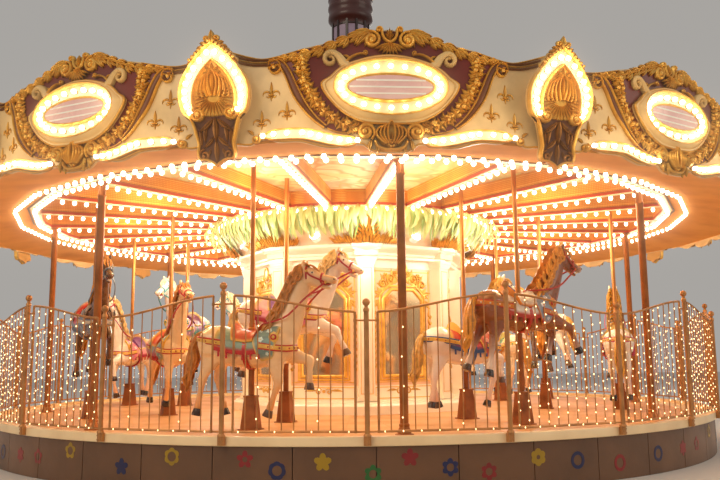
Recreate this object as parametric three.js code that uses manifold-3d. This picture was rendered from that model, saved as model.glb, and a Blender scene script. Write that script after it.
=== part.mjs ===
import * as THREE from 'three';
import * as BufferGeometryUtils from 'three/addons/utils/BufferGeometryUtils.js';
import Module from 'manifold-3d';

// Fairground carousel, millimetres, +Z up, front towards -Y, origin on the ground under the centre mast.
// Every angle is in degrees, measured about +Z from the front towards +X.

// Heights above the ground
const DECK_TOP = 440;
const DECK_THICK = 50;
const SWEEP_BOTTOM = DECK_TOP + 2600;
const SWEEP_DEPTH = 200;
const EAVES_TOP = DECK_TOP + 3000;
const ROOF_TOP = DECK_TOP + 5000;

// Radii from the mast's axis
const PLINTH_RADIUS = 4800;
const KERB_RADIUS = 4830;
const WALK_INNER = 4475;
const DECK_RADIUS = 4455;
const FENCE_RADIUS = 4857;
const RIM_POLE_RADIUS = 4300;
const OUTER_HORSES = 3700;
const INNER_HORSES = 2730;
const DRUM_CORNER = 1496;
const SWEEP_RING_INNER = 1930;
const SWEEP_RING_OUTER = 4497;
const EAVES_FLAT = 5420;

// Where the repeats stand
const ROUND = 48;
const COARSE = 24;
const SWEEP_COUNT = 24;
const POLE_COUNT = 8;
const POLE_ANGLE = 2.8;
const HORSE_ANGLE = POLE_ANGLE - 22.5;
const FENCE_BAYS = 24;
const FENCE_ANGLE = -2.05;
const BAYS_A_SECTION = 4;
const BOARD_SECTIONS = 6;

// Clearances
const SEAT = 0.3;
const RUNNING = 0.8;

// Plinth and centre
const PLINTH_WALL = 40;
const WALK_THICK = 40;
const KERB_UP = 45;
const KERB_DOWN = 30;
const KERB_WIDTH = 80;
const MAST_RADIUS = 150;
const MAST_TOP = 3300;
const HUB = { radius: 600, height: 120, neck: 300 };
const FRAME_BEAMS = 8;
const FRAME_BEAM = { width: 90, height: 120 };

// Turning frame, floor and rim poles
const FRAME_DEPTH = 80;
const FRAME_HUB = { bore: MAST_RADIUS + 15, radius: 900 };
const FRAME_ARM = { width: 100, start: 800, end: DECK_RADIUS - 100 };
const FLOOR_INNER = 700;
const RIM_POLE = { radius: 42, foot: 65, footHeight: 40 };

// Horse poles and their guides
const UPPER_POLE = 26;
const LOWER_POLE = 30;
const POLE_BORE = 45;
const PEDESTAL = { height: 340, foot: 120, top: 78 };
const TRAVEL = 350;
const LOW_BELLY = DECK_TOP + 600;
const POLE_TOP = SWEEP_BOTTOM + SWEEP_DEPTH + 60;
const POLE_BOTTOM = DECK_TOP - 150;

// Fence
const FENCE_BAR = 14;
const FENCE_BARS = 4;
const FENCE_GAP_AT_POST = 100;
const FENCE_RAIL = 22;
const FENCE_RAIL_Z = DECK_TOP + 75;
const FENCE_LOW = DECK_TOP + 1110;
const FENCE_HIGH = DECK_TOP + 1275;
const POST_RADIUS = 24;
const POST_BALL = 34;
const POST_LOW = DECK_TOP + 1150;
const POST_HIGH = DECK_TOP + 1315;
const BRACKET_WIDTH = 64;

// Drum: walls between columns, with a stepped base and a cornice
const DRUM_WALL = { corner: 1472, thick: 60 };
const DRUM_BASE = { edge: 1760, step: 1600, edgeTop: 150, top: 165 };
const COLUMN = { width: 210, collar: 275, footTop: 215, capitalBottom: 1900 };
const CORNICE = { bottom: 1990, neck: 1600, swell: 1640, swellTop: 2080, edge: 1760, edgeBottom: 2110,
  top: 2165 };
const CROWN_LINE = [[1620, 0], [1700, 100], [1860, 270]];
const CROWN = { foot: 1540, lip: 2000, thick: 65 };

// Canopy
const SWEEP_WIDTH = 100;
const RING_WIDTH = { inner: 120, outer: 130 };
const CEILING_THICK = 12;
const EAVES = { drop: 140, thick: 25 };
const ROOF = { thick: 25, eye: 340, eyeEdge: 430 };
const LANTERN_LINE = [[420, 0], [420, 60], [300, 90], [300, 850], [350, 900], [350, 1330], [120, 1560],
  [0, 1600]];

// Rounding boards: half of the outline of one, from the middle of the cartouche to the middle of the ogive,
// as an angle and a height above the deck
const BOARD_THICK = 30;
const BOARD_START = -18.6;
const BOARD_TOP_LINE = [[0, 3420], [2, 3385], [4.4, 3320], [7.9, 3235], [10.7, 3185], [12.3, 3210],
  [15, 3300]];
const BOARD_BOTTOM_LINE = [[0, 2360], [1.6, 2370], [2.6, 2430], [5.2, 2395], [7.9, 2450], [9.6, 2455],
  [11, 2490], [12.2, 2440], [13.2, 2450], [15, 2450]];
const CARTOUCHE = { halfWidth: 520, halfHeight: 290, mirrorWidth: 355, mirrorHeight: 110, middle: 2895,
  depth: 90 };
const OGIVE_LEAN = 11;
const OGIVE_FRONT = 5470;
const OGIVE_FOOT = 2270;
const OGIVE_DEPTH = 400;
const OGIVE_LINE = [[0, 970], [110, 900], [230, 760], [300, 620], [290, 500], [200, 400], [165, 300],
  [150, 130], [60, 90], [0, 0]];

// Horse, facing +X, with the pole's axis on x = 0 and the belly at z = 0: its barrel, and for each pose the
// neck with the head as [x, z, tilt, half depth, half width], and the legs as [x, z, knee, hoof]
const BARREL = [[-520, 330, 0, 120, 90], [-360, 260, 0, 210, 190], [0, 200, 0, 195, 190],
  [300, 250, 0, 220, 170], [430, 300, 0, 120, 90]];
const TAIL = [[-480, 350, 60, 60, 40], [-660, 230, 40, 80, 55], [-720, -40, 90, 45, 30]];
const LEG_APART = 95;
const THIGH = [100, 60];
const KNEE = [50, 38];
const HOOF = [48, 42];
const LEAPING = {
  neck: [[330, 270, 50, 190, 100], [500, 560, 60, 120, 65], [590, 830, 60, 100, 60], [700, 840, -18, 80, 55],
    [850, 780, -25, 50, 40]],
  legs: [[300, 150, [560, 0], [470, -270]], [320, 150, [640, 60], [760, -190]],
    [-330, 170, [-520, -60], [-640, -360]], [-300, 170, [-420, -90], [-500, -420]]],
};
const STANDING = {
  neck: [[330, 270, 50, 190, 100], [490, 560, 62, 120, 65], [560, 900, 60, 110, 60], [680, 950, -8, 80, 55],
    [860, 900, -18, 50, 40]],
  legs: [[300, 150, [620, 90], [600, -180]], [280, 150, [330, -120], [210, -440]],
    [-330, 170, [-420, -80], [-330, -440]], [-360, 170, [-500, -90], [-560, -430]]],
};

const wasm = await Module();
wasm.setup();

// A three.js geometry with its shared corners merged
function merged(geometry) {
  geometry.deleteAttribute('normal');
  geometry.deleteAttribute('uv');
  return BufferGeometryUtils.mergeVertices(geometry, 1e-3);
}

// A merged geometry as a solid, turned the right way out if its faces point in
function solidOf(geometry) {
  const corners = new Float32Array(geometry.attributes.position.array);
  const faces = geometry.index.array;
  const sound = [];
  let volume = 0;
  for (let i = 0; i < faces.length; i += 3) {
    const [a, b, c] = [faces[i], faces[i + 1], faces[i + 2]];
    if (a === b || b === c || c === a) continue;
    const [p, q, r] = [a, b, c].map((n) => new THREE.Vector3().fromArray(corners, 3 * n));
    volume += p.dot(q.cross(r));
    sound.push(a, b, c);
  }
  const triVerts = new Uint32Array(volume > 0 ? sound : sound.reverse());
  return new wasm.Manifold(new wasm.Mesh({ numProp: 3, vertProperties: corners, triVerts }));
}

function geometryOf(solid) {
  const mesh = solid.getMesh();
  const geometry = new THREE.BufferGeometry();
  geometry.setAttribute('position', new THREE.BufferAttribute(new Float32Array(mesh.vertProperties), 3));
  geometry.setIndex(new THREE.BufferAttribute(new Uint32Array(mesh.triVerts), 1));
  return geometry;
}

function joined(geometries) {
  return geometries.map(solidOf).reduce((whole, piece) => whole.add(piece));
}

function pierced(geometry, cutters) {
  return cutters.map(solidOf).reduce((whole, cutter) => whole.subtract(cutter), solidOf(geometry));
}

// Geometry helpers: each returns a closed three.js geometry with merged corners
function turned(geometry, degrees) {
  return geometry.clone().rotateZ(THREE.MathUtils.degToRad(degrees));
}

function spunOf(profile, segments, startDegrees = 0) {
  const points = profile.map(([r, z]) => new THREE.Vector2(r, z));
  const upright = merged(new THREE.LatheGeometry(points, segments)).rotateX(Math.PI / 2);
  return turned(upright, startDegrees);
}

function ringOf(profile, segments, startDegrees = 0) {
  return spunOf([...profile, profile[0]], segments, startDegrees);
}

function boxOf(x0, x1, y0, y1, z0, z1) {
  return merged(new THREE.BoxGeometry(x1 - x0, y1 - y0, z1 - z0))
    .translate((x0 + x1) / 2, (y0 + y1) / 2, (z0 + z1) / 2);
}

function slabOf(shape, depth) {
  return merged(new THREE.ExtrudeGeometry(shape, { depth, bevelEnabled: false, curveSegments: 4 }));
}

// A flat plate drawn in x and z, from radius back to radius back + thick, at the front
function plateOf(shape, back, thick) {
  return slabOf(shape, thick).rotateX(Math.PI / 2).translate(0, -back, 0);
}

function shapeOf(points) {
  return new THREE.Shape(points.map(([x, z]) => new THREE.Vector2(x, z)));
}

// Sections with few sides, joined along a path in the x-z plane: each is [x, z, tilt, half depth, half width]
function loftOf(sections, sides) {
  const corners = [];
  for (const [x, z, tilt, deep, wide] of sections) {
    const angle = THREE.MathUtils.degToRad(tilt);
    for (let i = 0; i < sides; i += 1) {
      const turn = (2 * Math.PI * (i + 0.5)) / sides;
      const out = deep * Math.cos(turn);
      corners.push(x - out * Math.sin(angle), wide * Math.sin(turn), z + out * Math.cos(angle));
    }
  }
  const faces = [];
  const last = (sections.length - 1) * sides;
  for (let s = 0; s < last; s += sides) {
    for (let i = 0; i < sides; i += 1) {
      const j = (i + 1) % sides;
      faces.push(s + i, s + j, s + sides + j, s + i, s + sides + j, s + sides + i);
    }
  }
  for (let i = 1; i < sides - 1; i += 1) {
    faces.push(0, i + 1, i, last, last + i, last + i + 1);
  }
  const geometry = new THREE.BufferGeometry();
  geometry.setAttribute('position', new THREE.Float32BufferAttribute(corners, 3));
  geometry.setIndex(faces);
  return geometry;
}

// Materials
function finish(color, roughness, metalness) {
  return new THREE.MeshStandardMaterial({ color, roughness, metalness });
}
const PAINTED_STEEL = finish(0x5a4638, 0.6, 0.2);
const CREAM_PAINT = finish(0xf0d9b0, 0.5, 0.0);
const RAIL_BRASS = finish(0x8a5c34, 0.35, 0.8);
const DECK_BOARD = finish(0xd9a06a, 0.6, 0.0);
const WHITE_PAINT = finish(0xf6efe2, 0.5, 0.0);
const PINK_CREAM = finish(0xf2cfae, 0.5, 0.0);
const PALE_GREEN = finish(0xbfd9a0, 0.5, 0.0);
const ORANGE_PAINT = finish(0xd97a3a, 0.5, 0.0);
const MURAL_PAINT = finish(0xc9d2a8, 0.6, 0.0);
const MAROON_PAINT = finish(0x7a3030, 0.5, 0.0);
const ROOF_SKIN = finish(0x5a3a34, 0.7, 0.0);
const HORSE_PAINT = finish(0xf3e6cf, 0.3, 0.0);
const IRON = finish(0x3c332d, 0.6, 0.6);

const carousel = new THREE.Group();

function add(name, solid, material) {
  const mesh = new THREE.Mesh(geometryOf(solid), material);
  mesh.name = name;
  carousel.add(mesh);
}

// Fixed plinth: ring wall on the ground, walkway with its kerb on top, and the ground frame with the mast
function plinth() {
  const inner = PLINTH_RADIUS - PLINTH_WALL;
  const wallTop = DECK_TOP - WALK_THICK - SEAT;
  const wall = ringOf([[inner, 0], [PLINTH_RADIUS, 0], [PLINTH_RADIUS, wallTop], [inner, wallTop]], COARSE);
  add('plinth_wall', solidOf(wall), PAINTED_STEEL);

  const kerbTop = DECK_TOP + KERB_UP;
  const walkBottom = DECK_TOP - WALK_THICK;
  const kerbInner = KERB_RADIUS - KERB_WIDTH;
  add('rim_walk', solidOf(ringOf([[WALK_INNER, walkBottom], [KERB_RADIUS, walkBottom], [KERB_RADIUS, kerbTop],
    [kerbInner, kerbTop], [kerbInner, DECK_TOP], [WALK_INNER, DECK_TOP]], ROUND)), CREAM_PAINT);

  const reach = inner * Math.cos(Math.PI / COARSE) - SEAT;
  const beam = boxOf(-FRAME_BEAM.width / 2, FRAME_BEAM.width / 2, -reach, 0, 0, FRAME_BEAM.height);
  const beams = [];
  for (let i = 0; i < FRAME_BEAMS; i += 1) {
    beams.push(turned(beam, (360 / FRAME_BEAMS) * i + 180 / COARSE));
  }
  const flange = turningFrameBottom() - SEAT;
  const hub = spunOf([[0, 0], [HUB.radius, 0], [HUB.radius, HUB.height], [HUB.neck, HUB.height],
    [HUB.neck, flange], [MAST_RADIUS, flange], [MAST_RADIUS, MAST_TOP], [0, MAST_TOP]], 16);
  add('ground_frame_and_mast', joined([hub, ...beams]), IRON);
}

function turningFrameBottom() {
  return DECK_TOP - DECK_THICK - FRAME_DEPTH;
}

// Fence: straight bays between posts that alternate low and high, four bays to a section
function bayLength() {
  return 2 * FENCE_RADIUS * Math.sin(Math.PI / FENCE_BAYS);
}

function railHeight(t) {
  return FENCE_LOW + (FENCE_HIGH - FENCE_LOW) * (1 - Math.cos(Math.PI * t)) / 2;
}

function bayPanel(rising) {
  const length = bayLength();
  const first = FENCE_GAP_AT_POST;
  const pitch = (length - 2 * first) / (FENCE_BARS + 1);
  const topAt = (x) => railHeight(rising ? x / length : 1 - x / length);
  const railTop = FENCE_RAIL_Z + FENCE_RAIL;
  const tieEnd = topAt(length) - 3 * FENCE_RAIL;
  const tieStart = topAt(0) - 3 * FENCE_RAIL;
  const last = length - first;
  const outline = [[0, FENCE_RAIL_Z], [length, FENCE_RAIL_Z], [length, railTop], [last, railTop],
    [last, tieEnd - FENCE_RAIL], [length, tieEnd - FENCE_RAIL], [length, tieEnd], [last, tieEnd]];
  for (let i = FENCE_BARS + 1; i >= 0; i -= 1) {
    outline.push([first + pitch * i, topAt(first + pitch * i)]);
  }
  outline.push([first, tieStart], [0, tieStart], [0, tieStart - FENCE_RAIL], [first, tieStart - FENCE_RAIL],
    [first, railTop], [0, railTop]);
  const windows = [];
  for (let i = 0; i <= FENCE_BARS; i += 1) {
    const x0 = first + pitch * i + FENCE_BAR / 2;
    const x1 = first + pitch * (i + 1) - FENCE_BAR / 2;
    windows.push(shapeOf([[x0, railTop], [x1, railTop], [x1, topAt(x1) - FENCE_RAIL],
      [x0, topAt(x0) - FENCE_RAIL]]));
  }
  return pierced(slabOf(shapeOf(outline), FENCE_BAR), windows.map((window) => slabOf(window, 3 * FENCE_BAR)
    .translate(0, 0, -FENCE_BAR)));
}

function fence() {
  const half = 180 / FENCE_BAYS;
  const middle = FENCE_RADIUS * Math.cos(THREE.MathUtils.degToRad(half));
  const foot = DECK_TOP - KERB_DOWN;
  const panels = [true, false].map((rising) => bayPanel(rising).rotate([90, 0, 0])
    .translate([-bayLength() / 2, -middle + FENCE_BAR / 2, 0]));
  const short = solidOf(boxOf(-bayLength(), bayLength() / 2 - POST_RADIUS - SEAT, -6000, 0, 0, 4000));
  const kerb = KERB_RADIUS + SEAT;
  const kerbTop = DECK_TOP + KERB_UP;
  const kerbRoom = solidOf(spunOf([[0, 0], [kerb, 0], [kerb, kerbTop], [0, kerbTop]], ROUND));
  const bracketEnd = -KERB_RADIUS + KERB_WIDTH / 2;
  const bracket = solidOf(boxOf(-BRACKET_WIDTH / 2, BRACKET_WIDTH / 2, -FENCE_RADIUS, bracketEnd, foot,
    kerbTop - SEAT));
  for (let section = 0; section < FENCE_BAYS / BAYS_A_SECTION; section += 1) {
    const pieces = [];
    for (let bay = 0; bay < BAYS_A_SECTION; bay += 1) {
      const start = FENCE_ANGLE + (360 / FENCE_BAYS) * (section * BAYS_A_SECTION + bay);
      const low = bay % 2 === 0;
      const panel = panels[bay % 2];
      const fitted = bay === BAYS_A_SECTION - 1 ? panel.intersect(short) : panel;
      const top = low ? POST_LOW : POST_HIGH;
      const post = spunOf([[0, foot], [POST_RADIUS, foot], [POST_RADIUS, top], [POST_BALL, top + POST_BALL],
        [0, top + 2 * POST_BALL]], 6).translate(0, -FENCE_RADIUS, 0);
      pieces.push(fitted.rotate([0, 0, start + half]));
      pieces.push(solidOf(post).add(bracket).rotate([0, 0, start]));
    }
    const whole = pieces.reduce((sum, piece) => sum.add(piece));
    add(`fence_${section + 1}`, whole.subtract(kerbRoom), RAIL_BRASS);
  }
}

// Turning floor: star frame on the mast's flange, and eight floor sections, each with two pole guides
function turntableFloor() {
  const bottom = turningFrameBottom();
  const top = DECK_TOP - DECK_THICK - SEAT;
  const hub = ringOf([[FRAME_HUB.bore, bottom], [FRAME_HUB.radius, bottom], [FRAME_HUB.radius, top],
    [FRAME_HUB.bore, top]], 16);
  const arm = boxOf(-FRAME_ARM.width / 2, FRAME_ARM.width / 2, -FRAME_ARM.end, -FRAME_ARM.start, bottom, top);
  const arms = [];
  for (let i = 0; i < POLE_COUNT; i += 1) {
    arms.push(turned(arm, POLE_ANGLE + (360 / POLE_COUNT) * i));
  }
  add('turntable_frame', joined([hub, ...arms]), IRON);

  for (let i = 0; i < POLE_COUNT; i += 1) {
    add(`floor_section_${i + 1}`, floorSection(HORSE_ANGLE + (360 / POLE_COUNT) * i), DECK_BOARD);
  }
}

function floorSection(middleAngle) {
  const steps = ROUND / POLE_COUNT;
  const half = 180 / POLE_COUNT;
  const points = [];
  for (let i = 0; i <= steps; i += 1) {
    const angle = THREE.MathUtils.degToRad(-half + (2 * half * i) / steps);
    points.push([DECK_RADIUS * Math.sin(angle), -DECK_RADIUS * Math.cos(angle)]);
  }
  for (const side of [half, -half]) {
    const angle = THREE.MathUtils.degToRad(side);
    points.push([FLOOR_INNER * Math.sin(angle), -FLOOR_INNER * Math.cos(angle)]);
  }
  const slab = slabOf(shapeOf(points), DECK_THICK).translate(0, 0, DECK_TOP - DECK_THICK);
  let solid = solidOf(slab);
  for (const side of [half, -half]) {
    const saw = boxOf(-SEAT / 2, SEAT / 2, -6000, 0, 0, 1000);
    solid = solid.subtract(solidOf(turned(saw, side)));
  }
  const bore = LOWER_POLE + RUNNING;
  for (const radius of [OUTER_HORSES, INNER_HORSES]) {
    const guideTop = DECK_TOP + PEDESTAL.height;
    const guide = spunOf([[0, DECK_TOP - 1], [PEDESTAL.foot, DECK_TOP - 1], [PEDESTAL.top, guideTop],
      [0, guideTop]], 4, 45).translate(0, -radius, 0);
    const hole = spunOf([[0, 0], [bore, 0], [bore, 1000], [0, 1000]], 6).translate(0, -radius, 0);
    solid = solid.add(solidOf(guide)).subtract(solidOf(hole));
  }
  return solid.rotate([0, 0, middleAngle]);
}

// Poles at the rim of the turning floor, up to the sweeps
function rimPoles() {
  for (let i = 0; i < POLE_COUNT; i += 1) {
    const pole = spunOf([[0, DECK_TOP + SEAT], [RIM_POLE.foot, DECK_TOP + SEAT],
      [RIM_POLE.radius, DECK_TOP + RIM_POLE.footHeight], [RIM_POLE.radius, SWEEP_BOTTOM - SEAT],
      [0, SWEEP_BOTTOM - SEAT]], 8);
    const placed = turned(pole.translate(0, -RIM_POLE_RADIUS, 0), POLE_ANGLE + (360 / POLE_COUNT) * i);
    add(`rim_pole_${i + 1}`, solidOf(placed), RAIL_BRASS);
  }
}

// Drum: eight flat walls round the machinery, with columns at the corners, and the leaf crown above
function drum() {
  const { corner, thick } = DRUM_WALL;
  const floor = DECK_TOP + SEAT;
  const inside = corner - thick;
  const wall = ringOf([[inside, floor], [corner, floor], [corner, SWEEP_BOTTOM], [inside, SWEEP_BOTTOM]],
    8, POLE_ANGLE);
  add('drum_wall', solidOf(wall), PINK_CREAM);

  const base = spunOf([[0, floor], [DRUM_BASE.edge, floor], [DRUM_BASE.edge, DECK_TOP + DRUM_BASE.edgeTop],
    [DRUM_BASE.step, DECK_TOP + DRUM_BASE.top], [0, DECK_TOP + DRUM_BASE.top]], 8, POLE_ANGLE);
  const cornice = spunOf([[0, DECK_TOP + CORNICE.bottom], [CORNICE.neck, DECK_TOP + CORNICE.bottom],
    [CORNICE.swell, DECK_TOP + CORNICE.swellTop], [CORNICE.edge, DECK_TOP + CORNICE.edgeBottom],
    [CORNICE.edge, DECK_TOP + CORNICE.top], [0, DECK_TOP + CORNICE.top]], 8, POLE_ANGLE);
  const pieces = [base, cornice];
  const buried = 10;
  const back = DRUM_CORNER - 300;
  const block = (width, low, high) => boxOf(-width / 2, width / 2, -DRUM_CORNER - width / 2, -back,
    DECK_TOP + low, DECK_TOP + high);
  const column = [block(COLUMN.width, DRUM_BASE.top - buried, CORNICE.bottom + buried),
    block(COLUMN.collar, DRUM_BASE.top - buried, COLUMN.footTop),
    block(COLUMN.collar, COLUMN.capitalBottom, CORNICE.bottom + buried)];
  for (let i = 0; i < POLE_COUNT; i += 1) {
    const angle = POLE_ANGLE + (360 / POLE_COUNT) * i;
    pieces.push(...column.map((piece) => turned(piece, angle)));
  }
  const core = corner + SEAT / Math.cos(Math.PI / 8);
  const wallRoom = spunOf([[0, 0], [core, 0], [core, SWEEP_BOTTOM], [0, SWEEP_BOTTOM]], 8, POLE_ANGLE);
  add('drum_columns', joined(pieces).subtract(solidOf(wallRoom)), WHITE_PAINT);

  const seat = DECK_TOP + CORNICE.top + SEAT;
  const rim = SWEEP_BOTTOM - SEAT;
  const outside = CROWN_LINE.map(([r, z]) => [r, seat + z]);
  const within = CROWN_LINE.slice(1).reverse().map(([r, z]) => [r - CROWN.thick, seat + z]);
  const crown = ringOf([[CROWN.foot, seat], ...outside, [CROWN.lip, rim], [CROWN.lip - CROWN.thick, rim],
    ...within], 16, POLE_ANGLE);
  add('drum_crown', solidOf(crown), PALE_GREEN);
}

// The eaves and the roof have straight sides, with one side in the middle of each cartouche and each ogive
const SIDE = 360 / COARSE;
const EAVES_CORNER = EAVES_FLAT / Math.cos(Math.PI / COARSE);

// Canopy: sweeps with their inner and outer rings, the panels on top of them, the eaves, the roof and lantern
function canopy() {
  const step = 360 / SWEEP_COUNT;
  const innerEdge = SWEEP_RING_INNER + RING_WIDTH.inner;
  const outerEdge = SWEEP_RING_OUTER - RING_WIDTH.outer;
  const across = (r) => r * Math.tan(THREE.MathUtils.degToRad(step / 2)) - SWEEP_WIDTH / 2;
  const coffer = slabOf(shapeOf([[-across(innerEdge), -innerEdge], [-across(outerEdge), -outerEdge],
    [across(outerEdge), -outerEdge], [across(innerEdge), -innerEdge]]), 2 * SWEEP_DEPTH)
    .translate(0, 0, SWEEP_BOTTOM - SWEEP_DEPTH / 2);
  const coffers = [];
  for (let i = 0; i < SWEEP_COUNT; i += 1) {
    coffers.push(turned(coffer, POLE_ANGLE + step * (i + 0.5)));
  }
  const sweepTop = SWEEP_BOTTOM + SWEEP_DEPTH;
  const rings = ringOf([[SWEEP_RING_INNER, SWEEP_BOTTOM], [SWEEP_RING_OUTER, SWEEP_BOTTOM],
    [SWEEP_RING_OUTER, sweepTop], [SWEEP_RING_INNER, sweepTop]], COARSE, SIDE / 2);
  add('sweeps', pierced(rings, coffers), ORANGE_PAINT);

  const sheetBottom = sweepTop + SEAT;
  const sheetTop = sheetBottom + CEILING_THICK;
  const sheet = ringOf([[SWEEP_RING_INNER, sheetBottom], [SWEEP_RING_OUTER, sheetBottom],
    [SWEEP_RING_OUTER, sheetTop], [SWEEP_RING_INNER, sheetTop]], COARSE, SIDE / 2);
  const poleHole = spunOf([[0, 0], [POLE_BORE, 0], [POLE_BORE, 2 * sheetTop], [0, 2 * sheetTop]], 4);
  const holes = [];
  for (let i = 0; i < POLE_COUNT; i += 1) {
    for (const radius of [OUTER_HORSES, INNER_HORSES]) {
      holes.push(turned(poleHole.clone().translate(0, -radius, 0), HORSE_ANGLE + (360 / POLE_COUNT) * i));
    }
  }
  add('ceiling_panels', pierced(sheet, holes), MURAL_PAINT);

  const inner = SWEEP_RING_OUTER + SEAT;
  const edge = EAVES_CORNER;
  const brow = SWEEP_BOTTOM - EAVES.drop;
  add('eaves_soffit', solidOf(ringOf([[inner, SWEEP_BOTTOM], [edge, brow], [edge, brow + EAVES.thick],
    [inner, SWEEP_BOTTOM + EAVES.thick]], COARSE, SIDE / 2)), ORANGE_PAINT);
  const fasciaBack = edge - EAVES.thick;
  const slope = EAVES.drop / (edge - inner);
  const fasciaFoot = brow + EAVES.thick * (1 + slope) + SEAT;
  add('eaves_fascia', solidOf(ringOf([[fasciaBack, fasciaFoot], [edge, fasciaFoot], [edge, EAVES_TOP],
    [fasciaBack, EAVES_TOP]], COARSE, SIDE / 2)), ORANGE_PAINT);

  const seat = EAVES_TOP + SEAT;
  add('roof', solidOf(ringOf([[edge, seat], [edge, seat + ROOF.thick], [ROOF.eyeEdge, ROOF_TOP],
    [ROOF.eye, ROOF_TOP], [ROOF.eye, ROOF_TOP - ROOF.thick], [edge - 2 * ROOF.thick, seat]],
  COARSE, SIDE / 2)), ROOF_SKIN);

  const lamp = ROOF_TOP + SEAT;
  const outline = LANTERN_LINE.map(([r, z]) => [r, lamp + z]);
  add('roof_lantern', solidOf(spunOf([[0, lamp], ...outline], 12)), ROOF_SKIN);
}

// Height of an outline at an angle from the middle of a cartouche, repeated every thirty degrees
function lineAt(line, angle) {
  const period = 30;
  const from = Math.abs(((angle % period) + period + period / 2) % period - period / 2);
  const next = Math.max(1, line.findIndex(([a]) => a >= from));
  const [a0, z0] = line[next - 1];
  const [a1, z1] = line[next];
  return DECK_TOP + z0 + ((z1 - z0) * (from - a0)) / (a1 - a0);
}

// Radius at an angle on the flat sides of the eaves, plus a step outwards
function flatRadius(angle, step) {
  const off = angle - SIDE * Math.round(angle / SIDE);
  return (EAVES_FLAT + step) / Math.cos(THREE.MathUtils.degToRad(off));
}

function boardPanel() {
  const half = [0, 2.4, 5, 7.5, 10.7, 12.3, 15];
  const angles = [];
  for (const centre of [-30, 0, 30, 60]) {
    angles.push(...half.map((a) => centre + a), ...half.map((a) => centre - a));
  }
  const inBoard = (a) => a > BOARD_START && a < BOARD_START + 60;
  const used = [...new Set(angles)].filter(inBoard).sort((a, b) => a - b);
  const gap = THREE.MathUtils.radToDeg(SEAT / EAVES_FLAT / 2);
  const stations = [BOARD_START + gap, ...used, BOARD_START + 60 - gap];
  const corners = [];
  for (const angle of stations) {
    const turn = THREE.MathUtils.degToRad(angle);
    for (const z of [lineAt(BOARD_BOTTOM_LINE, angle), lineAt(BOARD_TOP_LINE, angle)]) {
      for (const r of [flatRadius(angle, SEAT), flatRadius(angle, BOARD_THICK)]) {
        corners.push(r * Math.sin(turn), -r * Math.cos(turn), z);
      }
    }
  }
  const faces = [];
  const around = [[0, 1], [1, 3], [3, 2], [2, 0]];
  for (let s = 0; s < stations.length - 1; s += 1) {
    for (const [a, b] of around) {
      faces.push(4 * s + a, 4 * s + b, 4 * s + 4 + b, 4 * s + a, 4 * s + 4 + b, 4 * s + 4 + a);
    }
  }
  const end = 4 * (stations.length - 1);
  faces.push(0, 3, 1, 0, 2, 3, end, end + 1, end + 3, end, end + 3, end + 2);
  const geometry = new THREE.BufferGeometry();
  geometry.setAttribute('position', new THREE.Float32BufferAttribute(corners, 3));
  geometry.setIndex(faces);
  return geometry;
}

function ovalPoints(halfWidth, halfHeight, count) {
  return Array.from({ length: count }, (_, i) => {
    const turn = (2 * Math.PI * i) / count;
    return [halfWidth * Math.cos(turn), halfHeight * Math.sin(turn)];
  });
}

function cartouche() {
  const frame = shapeOf(ovalPoints(CARTOUCHE.halfWidth, CARTOUCHE.halfHeight, 14));
  frame.holes.push(shapeOf(ovalPoints(CARTOUCHE.mirrorWidth, CARTOUCHE.mirrorHeight, 10).reverse()));
  return plateOf(frame, 0, CARTOUCHE.depth).translate(0, -EAVES_FLAT - 5, DECK_TOP + CARTOUCHE.middle);
}

function ogive() {
  const mirrored = OGIVE_LINE.slice(1, -1).map(([x, z]) => [-x, z]).reverse();
  const lean = THREE.MathUtils.degToRad(OGIVE_LEAN);
  const back = OGIVE_FRONT - OGIVE_DEPTH * Math.cos(lean);
  const backFoot = DECK_TOP + OGIVE_FOOT + OGIVE_DEPTH * Math.sin(lean);
  return plateOf(shapeOf([...OGIVE_LINE, ...mirrored]), 0, OGIVE_DEPTH).rotateX(lean)
    .translate(0, -back, backFoot);
}

function roundingBoards() {
  const back = flatRadius(SIDE / 2, BOARD_THICK / 2);
  const inside = solidOf(spunOf([[0, 0], [back, 0], [back, ROOF_TOP], [0, ROOF_TOP]], COARSE, SIDE / 2));
  let board = solidOf(boardPanel());
  for (const centre of [0, 30]) {
    board = board.add(solidOf(turned(cartouche(), centre)).subtract(inside));
    board = board.add(solidOf(turned(ogive(), centre - 15)).subtract(inside));
  }
  for (let i = 0; i < BOARD_SECTIONS; i += 1) {
    add(`rounding_boards_${i + 1}`, board.rotate([0, 0, (360 / BOARD_SECTIONS) * i]), MAROON_PAINT);
  }
}

// One horse with its pole: the barrel, neck and head, four legs and tail as lofts
function horse(pose, lift, radius, angle) {
  const pieces = [loftOf(BARREL, 6), loftOf(pose.neck, 5), loftOf(TAIL, 3)];
  pose.legs.forEach(([x, z, knee, hoof], i) => {
    const side = i % 2 === 0 ? LEG_APART : -LEG_APART;
    const leg = loftOf([[x, z, 90, ...THIGH], [...knee, 90, ...KNEE], [...hoof, 90, ...HOOF]], 4);
    pieces.push(leg.translate(0, side, 0));
  });
  const belly = LOW_BELLY + lift;
  const middle = belly + BARREL[2][1];
  const top = POLE_TOP + lift;
  const foot = POLE_BOTTOM + lift;
  const upper = spunOf([[0, middle], [UPPER_POLE, middle], [UPPER_POLE, top], [0, top]], 6);
  const lower = spunOf([[0, foot], [LOWER_POLE, foot], [LOWER_POLE, middle], [0, middle]], 6);
  return joined(pieces).translate([0, 0, belly]).add(solidOf(upper)).add(solidOf(lower))
    .translate([0, -radius, 0]).rotate([0, 0, angle]);
}

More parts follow.
